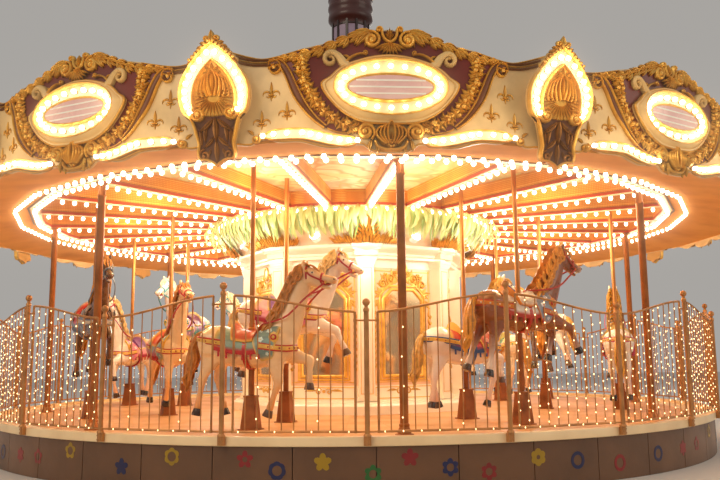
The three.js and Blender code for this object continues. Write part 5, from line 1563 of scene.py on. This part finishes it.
# Stations of the barrel and of each pose's neck, head and lower jaw: x, y, z, half depth, half width
BARREL = np.array([(-0.585, 0, 0.3, 0.03, 0.03), (-0.56, 0, 0.3, 0.1, 0.08), (-0.48, 0, 0.285, 0.17, 0.145),
                   (-0.36, 0, 0.255, 0.2, 0.18), (-0.18, 0, 0.21, 0.188, 0.18), (0.0, 0, 0.19, 0.18, 0.18),
                   (0.16, 0, 0.205, 0.19, 0.178), (0.3, 0, 0.245, 0.2, 0.16), (0.4, 0, 0.275, 0.165, 0.13),
                   (0.46, 0, 0.29, 0.09, 0.08), (0.48, 0, 0.295, 0.025, 0.025)])
HEAD = [(-0.05, 0, 0.0, 0.04, 0.04), (-0.015, 0, 0.002, 0.08, 0.06), (0.05, 0, -0.012, 0.088, 0.064),
        (0.12, 0, -0.018, 0.066, 0.05), (0.19, 0, -0.02, 0.046, 0.04), (0.25, 0, -0.022, 0.04, 0.038),
        (0.3, 0, -0.03, 0.042, 0.04), (0.328, 0, -0.036, 0.03, 0.03), (0.336, 0, -0.038, 0.01, 0.01)]
JAW = [(0.04, 0, -0.06, 0.045, 0.045), (0.12, 0, -0.088, 0.028, 0.034), (0.2, 0, -0.104, 0.019, 0.027),
       (0.262, 0, -0.11, 0.02, 0.028), (0.286, 0, -0.108, 0.008, 0.012)]
EAR = [(-0.03, 0.03, 0.05, 0.026, 0.024), (-0.034, 0.042, 0.1, 0.026, 0.024),
       (-0.018, 0.045, 0.15, 0.01, 0.01)]
# Lumps of flesh on both sides: the spot and the half sizes, on the head from the poll and on the body
HEAD_FLESH = [((0.035, 0.04, -0.048), (0.062, 0.032, 0.058)), ((0.075, 0.046, 0.028), (0.034, 0.022, 0.022)),
              ((0.3, 0.028, -0.02), (0.028, 0.018, 0.022))]
BODY_FLESH = [((-0.4, 0.09, 0.26), (0.17, 0.11, 0.18)), ((0.3, 0.08, 0.22), (0.13, 0.1, 0.19))]
# Marks down a leg with the knee at 1 and the hoof at 2: share, half depth of a fore and of a hind leg, half
# width, and how far out the leg stands
LEG_MARKS = np.array([(0, 0.125, 0.15, 0.08, 0.75), (0.45, 0.082, 0.1, 0.06, 0.9),
                      (0.8, 0.056, 0.056, 0.044, 1), (1, 0.05, 0.05, 0.042, 1), (1.25, 0.035, 0.035, 0.03, 1),
                      (1.55, 0.031, 0.031, 0.027, 1), (1.78, 0.04, 0.04, 0.035, 1),
                      (1.93, 0.034, 0.034, 0.034, 1)])
# Marks down a hoof: how far past the leg's end, half depth, half width
HOOF_MARKS = [(-0.035, 0.036, 0.036), (-0.023, 0.042, 0.041), (0.03, 0.054, 0.049), (0.036, 0.05, 0.045)]
POSES = {
    "standing": {
        "neck": [(0.25, 0, 0.26, 0.2, 0.125), (0.36, 0, 0.41, 0.175, 0.105), (0.44, 0, 0.57, 0.14, 0.08),
                 (0.5, 0, 0.73, 0.115, 0.066), (0.545, 0, 0.86, 0.096, 0.06), (0.585, 0, 0.94, 0.08, 0.056)],
        "head": (0.59, 0.95), "nod": -8.0,
        "legs": [((0.31, 0.17), (0.6, 0.085), (0.59, -0.17)), ((0.285, 0.15), (0.33, -0.13), (0.225, -0.43)),
                 ((-0.36, 0.21), (-0.42, -0.085), (-0.335, -0.43)),
                 ((-0.38, 0.21), (-0.5, -0.095), (-0.555, -0.42))]},
    "leaping": {
        "neck": [(0.25, 0, 0.26, 0.2, 0.125), (0.37, 0, 0.4, 0.175, 0.105), (0.465, 0, 0.55, 0.138, 0.08),
                 (0.535, 0, 0.69, 0.113, 0.066), (0.58, 0, 0.79, 0.096, 0.06), (0.615, 0, 0.85, 0.08, 0.056)],
        "head": (0.625, 0.862), "nod": -22.0,
        "legs": [((0.31, 0.15), (0.55, 0.01), (0.47, -0.26)), ((0.32, 0.16), (0.63, 0.06), (0.745, -0.18)),
                 ((-0.36, 0.19), (-0.52, -0.07), (-0.635, -0.35)),
                 ((-0.35, 0.19), (-0.44, -0.1), (-0.5, -0.41))]},
}


def limb(stations, rows):
    """An oval body along smooth stations (x, y, z, half depth, half width). Its sections stand square to the
    path, with their width across the horse."""
    line = through(stations, rows)
    up = -unit(np.cross(np.gradient(line[:, :3], axis=0), Y_AXIS))
    return swept(line[:, :3], ROUND, Y_AXIS, up, sizes=line[:, [4, 3]])


def head_spot(pose, x, y, z):
    """A point given from the poll along the head, nodded with the head."""
    nod = math.radians(pose["nod"])
    return (pose["head"][0] + x * math.cos(nod) - z * math.sin(nod), y,
            pose["head"][1] + x * math.sin(nod) + z * math.cos(nod))


def nodded(pose, stations, side=1):
    """Stations given from the poll on one side of the head, nodded with it."""
    return [(*head_spot(pose, x, side * y, z), *sizes) for x, y, z, *sizes in stations]


def ball(centre, radius, paint=WHITE, sides=10):
    """A round lump, stretched where the radius has three parts."""
    lump = turned([(0, -1), (0.82, -0.57), (1, 0), (0.82, 0.57), (0, 1)], ring_plan(sides), paint)
    return copies(lump, [centre], radius)


def blended(shapes, voxel, share):
    """One smooth skin over overlapping shapes, remeshed at the voxel's size, relaxed and thinned to a
    share."""
    points, faces = joined(shapes)
    mesh = bpy.data.meshes.new("clay")
    mesh.from_pydata(points.tolist(), [], faces.tolist())
    clay = bpy.data.objects.new("clay", mesh)
    scene.collection.objects.link(clay)
    for kind, settings in (("REMESH", {"mode": "VOXEL", "voxel_size": voxel}),
                           ("SMOOTH", {"factor": 0.5, "iterations": 5}),
                           ("DECIMATE", {"ratio": share, "use_collapse_triangulate": True})):
        modifier = clay.modifiers.new(kind, kind)
        for key, value in settings.items():
            setattr(modifier, key, value)
    result = clay.evaluated_get(bpy.context.evaluated_depsgraph_get()).to_mesh()
    points = np.empty(len(result.vertices) * 3)
    result.vertices.foreach_get("co", points)
    result.calc_loop_triangles()
    faces = np.empty(len(result.loop_triangles) * 3, np.int32)
    result.loop_triangles.foreach_get("vertices", faces)
    bpy.data.objects.remove(clay)
    bpy.data.meshes.remove(mesh)
    return closed(points.reshape(-1, 3), faces.reshape(-1, 3))


def horse_skin(pose):
    """Barrel, haunches, neck, head, jaw, ears and legs as one skin. A leg's bones run straight between three
    joints, and the flesh is thick on the first and thin on the second."""
    lumps = [limb(BARREL, 24), limb(pose["neck"], 16), limb(nodded(pose, HEAD), 16),
             limb(nodded(pose, JAW), 10)]
    for side in (-1, 1):
        lumps += [ball(head_spot(pose, x, side * y, z), size) for (x, y, z), size in HEAD_FLESH]
        lumps += [ball((x, side * y, z), size) for (x, y, z), size in BODY_FLESH]
        lumps.append(limb(nodded(pose, EAR, side), 6))
    share, fore_deep, hind_deep, wide, apart = LEG_MARKS.T
    for i, leg in enumerate(pose["legs"]):
        x, z = (np.interp(share, (0, 1, 2), places) for places in zip(*leg))
        y = LEG_APART * apart * (-1) ** i
        lumps.append(limb(np.column_stack([x, y, z, hind_deep if i > 1 else fore_deep, wide]), 22))
    return blended(lumps, SKIN_VOXEL, SKIN_SHARE)


def hoof_shapes(pose):
    """Four dark hooves on the legs' ends, each square to its own cannon bone."""
    made = []
    for i, (_, knee, hoof) in enumerate(pose["legs"]):
        spots = np.array(hoof) + np.outer([past for past, _, _ in HOOF_MARKS], unit(np.subtract(hoof, knee)))
        y = LEG_APART * (-1) ** i
        rows = [(x, y, z, deep, wide) for (x, z), (_, deep, wide) in zip(spots, HOOF_MARKS)]
        made.append((*limb(rows, 6)[:2], HOOF_BROWN))
    return made


def lock(points, width, thick, away, rows=7):
    """A curl of hair along a smooth path, swelling to its middle and pointed at its tip."""
    path = through(points, rows)
    step = unit(np.gradient(path, axis=0))
    across = unit(np.cross(step, away))
    swell = 0.35 + 0.65 * np.sin(np.pi * np.linspace(0.12, 0.98, rows) ** 0.8)
    swell[-1] = 0.05
    return swept(path, STRAND, across, np.cross(across, step), sizes=np.outer(swell, (width, thick)))


def horse_hair(pose):
    """Mane, forelock and tail. The locks of the mane leave the crest on both sides and sweep back in waves,
    and the tail is a bundle of locks that arches out and falls."""
    crest = [head_spot(pose, 0.0, 0, 0.085), head_spot(pose, -0.07, 0, 0.055)]
    crest += [(x - 0.86 * deep, 0, z + 0.42 * deep) for x, _, z, deep, _ in pose["neck"][-2:0:-1]]
    made = []
    for i, root in enumerate(through(crest, MANE_ROOTS)[:-1]):
        share = i / (MANE_ROOTS - 1)
        fall = 0.17 + 0.1 * math.sin(math.pi * share)
        neck_side = 0.066 + 0.03 * share
        for side in (-1, 1):
            wave = 0.03 * (1 if (i + (side > 0)) % 2 else -1)
            steps = [(0.02, 0, -0.012), (-0.03, side * 0.04, 0.012),
                     (-0.055 + wave, side * neck_side, -0.36 * fall),
                     (-0.06 - wave, side * (neck_side + 0.022), -0.68 * fall),
                     (-0.105 + wave, side * (neck_side + 0.01), -fall)]
            made.append(lock(root + np.array(steps), 0.026, 0.017, (0, side, 0)))
    for y in (-0.018, 0.0, 0.018):
        made.append(lock([head_spot(pose, -0.02, y, 0.085), head_spot(pose, 0.045, 1.6 * y, 0.098),
                          head_spot(pose, 0.095, 2.2 * y, 0.066), head_spot(pose, 0.135, 1.2 * y, 0.04)],
                         0.016, 0.014, Z_AXIS))
    for i in range(TAIL_LOCKS):
        turn = 2 * math.pi * i / TAIL_LOCKS
        off = np.array([0.022 * math.cos(turn), 0.026 * math.sin(turn), 0.02 * math.cos(turn)])
        wave = 0.03 * math.sin(2.4 * i)
        line = np.array([(-0.535, 0, 0.375), (-0.605, 0, 0.35), (-0.668, 0, 0.205), (-0.665 + wave, 0, 0.045),
                         (-0.715 - wave, 0, -0.09), (-0.715 + wave, 0.2 * wave, -0.2 - 0.02 * (i % 3))])
        made.append(lock(line + np.outer([0, 1, 1.8, 2.2, 1.6, 0], off), 0.03, 0.022,
                         (math.cos(turn), math.sin(turn), 0.3), 10))
    return made


def sheet(front, back, paint):
    """A closed sheet between two grids of points, rows by columns by 3, joined along their four edges."""
    rows, columns = front.shape[:2]
    count = rows * columns
    r, c = np.arange(rows - 1), np.arange(columns - 1)
    edges = [(r * columns, (r + 1) * columns), ((r + 1) * columns + columns - 1, r * columns + columns - 1),
             (c + 1, c), ((rows - 1) * columns + c, (rows - 1) * columns + c + 1)]
    over = grid(rows, columns, columns_close=False)
    faces = [over, over[:, ::-1] + count]
    for a, b in edges:
        faces += [np.stack([a, b, b + count], 1), np.stack([a, b + count, a + count], 1)]
    return closed(np.concatenate([front.reshape(-1, 3), back.reshape(-1, 3)]), np.concatenate(faces),
                  np.concatenate([paint, paint]))


def on_barrel(x, turn, off):
    """Points on the barrel at x and at a turn in degrees from the back, lifted off it."""
    x, turn, off = np.broadcast_arrays(x, np.radians(turn), off)
    centre, deep, wide = (np.interp(x, BARREL[:, 0], BARREL[:, k]) for k in (2, 3, 4))
    y = -(wide + off + 0.012 * np.abs(np.sin(turn))) * np.sin(turn)
    return np.stack([x, y, centre + (deep + off) * np.cos(turn)], -1)


def draped(rear, front, fall, lift, colours, rows=10, columns=21):
    """A cloth over the barrel. rear and front give its edges by the share of its fall, lift its height and
    colours its paint by the share along it and down it."""
    across = np.linspace(-1, 1, columns)[None, :]
    along, down = np.linspace(0, 1, rows)[:, None], np.abs(across)
    x = rear(down) + (front(down) - rear(down)) * along
    return sheet(on_barrel(x, fall * across, lift(along, down)), on_barrel(x, fall * across, 0.003),
                 colours(along, down).reshape(-1, 3))


def choose(mask, one, other):
    """One colour where the mask holds, the other elsewhere."""
    return np.where(mask[..., None], one, other)


def band_section(width, back, thick):
    """The section of a leather band: flat behind, with both front edges bevelled."""
    half, bevel = width / 2, min(0.4 * thick, width / 4)
    return [(-half, back), (half, back), (half, thick - bevel), (half - bevel, thick), (bevel - half, thick),
            (-half, thick - bevel)]


def strap(points, width, thick, away, paint, rows=14):
    """A flat strap along a smooth path. away points off the surface that it lies on, or gives that for a
    path."""
    path = through(points, rows)
    step = np.gradient(path, axis=0)
    across = unit(np.cross(step, away(path) if callable(away) else away))
    return swept(path, band_section(width, -0.004, thick), across, unit(np.cross(across, step)), paint=paint)


def hoop(centre, half_deep, half_wide, tilt, width, thick, paint, count=16):
    """A strap right round a limb: an ellipse in a plane that leans by tilt degrees from upright."""
    lean = math.radians(tilt)
    ring = ring_plan(count)
    axes = np.array([(math.sin(lean), 0, math.cos(lean)), Y_AXIS])
    path = np.asarray(centre) + (ring * (half_deep, half_wide)) @ axes
    return swept(path, band_section(width, -0.006, thick), (math.cos(lean), 0, -math.sin(lean)), ring @ axes,
                 loop=True, paint=paint)


# Flowers painted thickly on the shoulder cloth: x, turn from the back, radius
BLOOMS = [(0.155, 34, 0.024), (0.25, 46, 0.03), (0.175, 66, 0.028), (0.205, 90, 0.026), (0.285, 96, 0.022),
          (0.245, 110, 0.018)]
petal_plan = ring_plan(15) * (1 + 0.22 * np.cos(2 * np.pi * np.arange(15) / 3))[:, None]
petal_dome = turned([(0, 0), (1, 0.2), (0, 0.7)], petal_plan)
pistil_dome = turned([(0, 0.3), (0.34, 0.3), (0, 1.3)], ring_plan(6))


def bloom(x, turn, size, petal_paint, middle_paint):
    """A flower of five petals with a raised middle, flat on the shoulder cloth."""
    up = np.array([0, -math.sin(math.radians(turn)), math.cos(math.radians(turn))])
    axes = np.stack([size * X_AXIS, size * np.cross(up, X_AXIS), 0.006 * up])
    return [(points @ axes + on_barrel(x, turn, 0.022), faces, paint)
            for (points, faces, _), paint in ((petal_dome, petal_paint), (pistil_dome, middle_paint))]


def from_pole(path):
    """Directions away from the pole's axis, level."""
    return unit(path * (1, 1, 0))


# Right halves of the breast band and the crupper band, and of each how far the outer studs are from its ends
BREAST = np.array([(0.16, -0.202, 0.235), (0.3, -0.182, 0.215), (0.415, -0.125, 0.205), (0.465, -0.06, 0.21),
                   (0.478, 0, 0.212)])
RUMP = np.array([(-0.22, -0.196, 0.265), (-0.36, -0.198, 0.285), (-0.48, -0.165, 0.3), (-0.56, -0.095, 0.31),
                 (-0.592, 0, 0.312)])
BANDS = ((BREAST, 0.08), (RUMP, 0.06))


def horse_tack(pose, look):
    """Saddle cloth with its border, shoulder cloth, saddle, breast and crupper bands, girth, bridle and
    reins."""
    cloth, trim, saddle, band, accent = (look[key] for key in ("cloth", "trim", "saddle", "band", "accent"))
    made = [draped(lambda v: -0.3 - 0.05 * v, lambda v: 0.2 + 0.02 * v, 104, lambda u, v: 0.012,
                   lambda u, v: choose(v > 0.87, trim, choose((v > 0.8) | (u < 0.06), band, cloth))),
            draped(lambda v: 0.05 + 0.13 * v ** 2, lambda v: 0.36 - 0.06 * v ** 2, 128, lambda u, v: 0.021,
                   lambda u, v: choose((v > 0.93) | (u < 0.09) | (u > 0.91), band, accent), 9),
            draped(lambda v: -0.2 + 0.06 * v, lambda v: 0.15 - 0.07 * v, 66,
                   lambda u, v: (0.03 + 0.075 * np.clip(1 - u / 0.24, 0, 1) ** 1.5 * np.clip(1.15 - v, 0, 1)
                                 + 0.045 * np.clip((u - 0.8) / 0.2, 0, 1) ** 1.5 * np.clip(1.1 - v, 0, 1)),
                   lambda u, v: choose((v > 0.86) | (u < 0.07), band, saddle), 12, 15),
            hoop((0.0, 0, 0.19), 0.186, 0.196, 0, 0.05, 0.01, trim, 22)]
    for half, end in BANDS:
        line = np.concatenate([half, half[-2::-1] * (1, -1, 1)])
        made += [strap(line, 0.068, 0.012, from_pole, trim, 20),
                 strap(line, 0.044, 0.017, from_pole, band, 20)]
        path = through(line, 101)
        places = (100 * np.linspace(end, 1 - end, STUDS)).astype(int)
        made += [ball(spot, 0.013, look["studs"], 6) for spot in (path + 0.012 * from_pole(path))[places]]
    for side in (-1, 1):
        for x in np.linspace(-0.28, 0.16, 6):
            top = on_barrel(x, side * 104, 0.01)
            made.append(rod(top + (0, 0, 0.006), top - (0, 0, 0.052), 0.011, 6, trim))
        for size, tint in ((0.056, band), (0.04, trim), (0.022, band)):
            made.append(ball(on_barrel(0.315, side * 72, 0.03), (size, 0.01 + 0.4 * (0.056 - size), size),
                             tint))
        for x, turn, size in BLOOMS:
            made += bloom(x, side * turn, size, np.clip(1.5 * accent + 0.35, 0, 1), band)
        mouth = head_spot(pose, 0.225, side * 0.04, -0.06)
        cheek_strap = [head_spot(pose, -0.02, side * 0.03, 0.078), head_spot(pose, 0.05, side * 0.072, 0.0),
                       head_spot(pose, 0.15, side * 0.056, -0.035), mouth]
        neck = pose["neck"]
        rein = [mouth, (neck[4][0] + 0.07, side * 0.11, neck[4][2] - 0.16),
                (neck[2][0] - 0.02, side * 0.135, neck[2][2] - 0.05),
                (0.17, side * 0.1, 0.455), (0.13, side * 0.02, 0.465)]
        made += [strap(cheek_strap, 0.018, 0.006, (0, side, 0), trim, 10),
                 ball(head_spot(pose, 0.02, side * 0.068, 0.03), (0.017, 0.01, 0.017), band, 8),
                 ball(mouth, (0.018, 0.01, 0.018), band, 8),
                 strap(rein, 0.018, 0.006, (0, side, 0), trim, 16)]
    made.append(hoop(head_spot(pose, 0.175, 0, -0.02), 0.052, 0.048, -pose["nod"], 0.018, 0.006, trim))
    made.append(hoop(head_spot(pose, 0.02, 0, -0.006), 0.094, 0.073, -pose["nod"] - 12, 0.018, 0.006, trim))
    return made


# Small lumps of the face: spot from the poll, half sizes, sides, colour. In turn the mouth's inside, the
# upper and lower teeth, the eye, its pupil, a nostril and the ear's hollow, which takes the livery's own
# shade.
FACE = [((0.215, 0, -0.078), (0.062, 0.026, 0.016), 10, "a8382a"),
        ((0.292, 0, -0.072), (0.016, 0.022, 0.008), 9, "f4ecd8"),
        ((0.262, 0, -0.094), (0.022, 0.02, 0.009), 9, "f4ecd8"),
        ((0.082, 0.062, 0.024), (0.017, 0.008, 0.012), 9, "f3efe6"),
        ((0.084, 0.0665, 0.024), (0.01, 0.0065, 0.01), 9, "1a1210"),
        ((0.312, 0.036, -0.018), (0.01, 0.008, 0.009), 8, "1a1210"),
        ((-0.02, 0.052, 0.104), (0.012, 0.008, 0.026), 8, None)]


def horse_figure(pose, skin_shape, look):
    """The skin, in the livery's own colour that is shaded towards the hooves and on the muzzle, with the
    hooves and the small parts of the face."""
    points, faces, _ = skin_shape
    low = np.clip((-points[:, 2] - 0.02) / 0.3, 0, 1)
    muzzle = np.clip(1 - np.linalg.norm(points - head_spot(pose, 0.33, 0, -0.05), axis=1) / 0.1, 0, 1)
    share = np.maximum(0.9 * low, 0.8 * muzzle)[:, None]
    made = [(points, faces, look["body"] + (look["shade"] - look["body"]) * share), *hoof_shapes(pose)]
    for (x, y, z), size, sides, code in FACE:
        tint = colour(code) if code else look["shade"]
        made += [ball(head_spot(pose, x, side * y, z), size, tint, sides)
                 for side in ((-1, 1) if y else (1,))]
    return made


def livery(*codes, studs=None):
    """The named colours of one horse. Its studs have the accent's colour where they have none of their
    own."""
    names = ("body", "shade", "mane", "cloth", "trim", "saddle", "band", "accent", "studs")
    return {name: np.array(colour(code)) for name, code in zip(names, (*codes, studs or codes[-1]))}


TEAL_CREAM = livery("f6d4a2", "e6a562", "c8843a", "86a08a", "c0302a", "d0502a", "ecc05a", "7c9e98",
                    studs="b02a24")
ROSE_WHITE = livery("f8efe2", "f2bf9c", "e9c583", "f3a9bb", "b02742", "8a5aa0", "f0c462", "f08fae")
CHESTNUT = livery("8c4f2a", "f0dcc8", "eda53a", "e9e2d2", "c23a20", "d8cfc0", "e08a2c", "8fa0b4",
                  studs="f0e4c8")
DARK_BAY = livery("553019", "6d4326", "e69a34", "d8322a", "7d8ba0", "d0342c", "c9b8a4", "7d8ba0")
BLUE_WHITE = livery("faf3e8", "f4cdb0", "dca848", "4f78b0", "d2527a", "2f4f94", "f0cf7a", "e88aa4")
GREEN_CREAM = livery("f5e4c6", "e8b98e", "c98a34", "3f8a6a", "d0882c", "a3382a", "f2d680", "4f9c80")
RED_WHITE = livery("f7f0e6", "eec6a8", "e2b35c", "c8372f", "3a5c9c", "6a2c1c", "f0c95c", "d05a48")
LILAC_GREY = livery("e2dcd6", "b9aaa2", "f1e2bd", "9a78b8", "4a9a9c", "7a3f6a", "efd27a", "b493cc")
OUTER_LIVERIES = [TEAL_CREAM, CHESTNUT, BLUE_WHITE, RED_WHITE, GREEN_CREAM, LILAC_GREY, ROSE_WHITE, DARK_BAY]
INNER_LIVERIES = [ROSE_WHITE, RED_WHITE, DARK_BAY, GREEN_CREAM, CHESTNUT, BLUE_WHITE, LILAC_GREY, TEAL_CREAM]
gelcoat = coated("horse_gelcoat", None, 0.24, "b98a5e", 0.28, 5.0, 0.006, coat=0.45)
hair_paint = coated("hair_paint", None, 0.36, "5c3310", 0.5, 16.0, 0.03, coat=0.2)
tack_paint = coated("tack_paint", None, 0.34, "40281c", 0.3, 9.0, 0.02, coat=0.2)
brass_pole = coated("brass_pole", "d08c4c", 0.28, "7a4620", 0.4, 5.0, 0.006, metallic=0.65)
ferrule = np.array([(0, -0.02), (0.04, -0.02), (0.04, 0.022), (0.03, 0.034), (0.03, 0.075), (0, 0.075)])
upper_pole = [turned(rectangle(0, 0.026, SADDLE_Z - 0.1, POLE_TOP), ring_plan(18)),
              turned(ferrule + (0, SADDLE_Z), ring_plan(18))]
lower_pole = [turned(rectangle(0, 0.03, POLE_BOTTOM, 0.1), ring_plan(18))]
skins = {name: horse_skin(pose) for name, pose in POSES.items()}
hairs = {name: horse_hair(pose) for name, pose in POSES.items()}
for ring, radius, looks in (("outer", HORSE_RADII[1], OUTER_LIVERIES),
                            ("inner", HORSE_RADII[0], INNER_LIVERIES)):
    for i, look in enumerate(looks):
        low = (i % 2 == 0) == (ring == "outer")
        pose_name = "standing" if low else "leaping"
        pose = POSES[pose_name]
        hair = [(points, faces, look["mane"]) for points, faces, _ in hairs[pose_name]]
        name = f"{ring}_horse_{i + 1}"
        place = (0, -radius, BELLY + (0 if low else TRAVEL))
        for part, shapes, material, slot, crease in (
                ("figure", horse_figure(pose, skins[pose_name], look), gelcoat, "horse_gelcoat", 60),
                ("hair", hair, hair_paint, "gold_ornament", 60),
                ("tack", horse_tack(pose, look), tack_paint, "horse_gelcoat", 40),
                ("pole", upper_pole, brass_pole, "pole_bronze", 38),
                ("lower_pole", lower_pole, dark_bronze, "pole_bronze", 38)):
            placed = all_around([moved(shape, place) for shape in shapes], HORSE_ANGLE + 45 * i)
            piece(f"{name}_{part}", placed, material, slot, name, crease, [name] if part == "figure" else ())

# Stage and light: a pale floor, a soft grey surround and broad soft lights.
STAGE_REACH = 40.0
SOFTBOX_SIZE = 12.0
corners = rectangle(-STAGE_REACH, STAGE_REACH, -STAGE_REACH, STAGE_REACH)
floor_mesh = bpy.data.meshes.new("stage_floor")
floor_mesh.from_pydata(level(corners, -0.001).tolist(), [], [(0, 1, 2, 3)])
floor_mesh.materials.append(coated("stage_paper", "cecbc8", 0.8, "c4c0bd", 0.3, 0.4, 0.0))
stage_floor = bpy.data.objects.new("stage_floor", floor_mesh)
scene.collection.objects.link(stage_floor)

world = bpy.data.worlds.new("studio")
world.use_nodes = True
surround = world.node_tree.nodes["Background"].inputs
surround["Color"].default_value = (0.93, 0.89, 0.84, 1)
surround["Strength"].default_value = 0.42
scene.world = world


def lamp(name, data, place):
    """A lamp at a place that the camera doesn't see."""
    made = bpy.data.objects.new(name, data)
    made.matrix_world = place
    made.visible_camera = False
    scene.collection.objects.link(made)


def soft_light(name, spot, aim, energy, tint):
    """A square area light at a spot, turned towards the point that it lights."""
    data = bpy.data.lights.new(name, "AREA")
    data.size, data.energy, data.color = SOFTBOX_SIZE, energy, tint
    facing = (Vector(aim) - Vector(spot)).to_track_quat("-Z", "Y")
    lamp(name, data, Matrix.Translation(spot) @ facing.to_matrix().to_4x4())


soft_light("key_light", (-13, -17, 13), (0, 0, 2.5), 1300, (1.0, 0.86, 0.66))
soft_light("fill_light", (17, -11, 9), (0, 0, 2.0), 650, (1.0, 0.89, 0.74))
soft_light("back_light", (4, 18, 12), (0, 0, 3.0), 700, (1.0, 0.93, 0.84))

# Glow of the bulbs: rings of small warm lamps under the canopy, where the rows of bulbs hang, and in front of
# the boards stand in for the light of some fifteen hundred bulbs.
WARM = (1.0, 0.72, 0.38)
FLOOD = (1.0, 0.95, 0.85)


def glow_ring(name, count, radius, height, energy, size, start=0.0, tint=WARM):
    """Warm point lights in a ring."""
    data = bpy.data.lights.new(name, "POINT")
    data.energy, data.color, data.shadow_soft_size = energy, tint, size
    for i, spot in enumerate(polar(radius, start + 360 / count * np.arange(count), height)):
        lamp(f"{name}_{i}", data, Matrix.Translation(spot))


glow_ring("canopy_glow", 12, 3.25, SWEEP_LOW - 0.22, 24, 0.3, 7.5)
glow_ring("drum_glow", 8, 2.38, SWEEP_LOW - 0.55, 27, 0.25, POLE_ANGLE, FLOOD)
glow_ring("board_glow", 24, 5.92, DECK_TOP + 2.62, 4, 0.16, 7.5)
glow_ring("ogive_glow", 12, 5.95, DECK_TOP + 2.92, 3, 0.1, 15)

# Bloom: the camera's soft halo round the lit bulbs, under a plain tone curve that keeps the paint's full
# colour.
scene.view_settings.view_transform = "Standard"
scene.use_nodes = True
image = scene.node_tree
image.nodes.clear()
layers = node(image, "CompositorNodeRLayers")
bloom_values = {"Image": layers.outputs["Image"], "Threshold": 1.5, "Strength": 0.3, "Size": 0.25}
glare = node(image, "CompositorNodeGlare", bloom_values, glare_type="BLOOM", quality="HIGH")
node(image, "CompositorNodeComposite", {"Image": glare.outputs["Image"]})
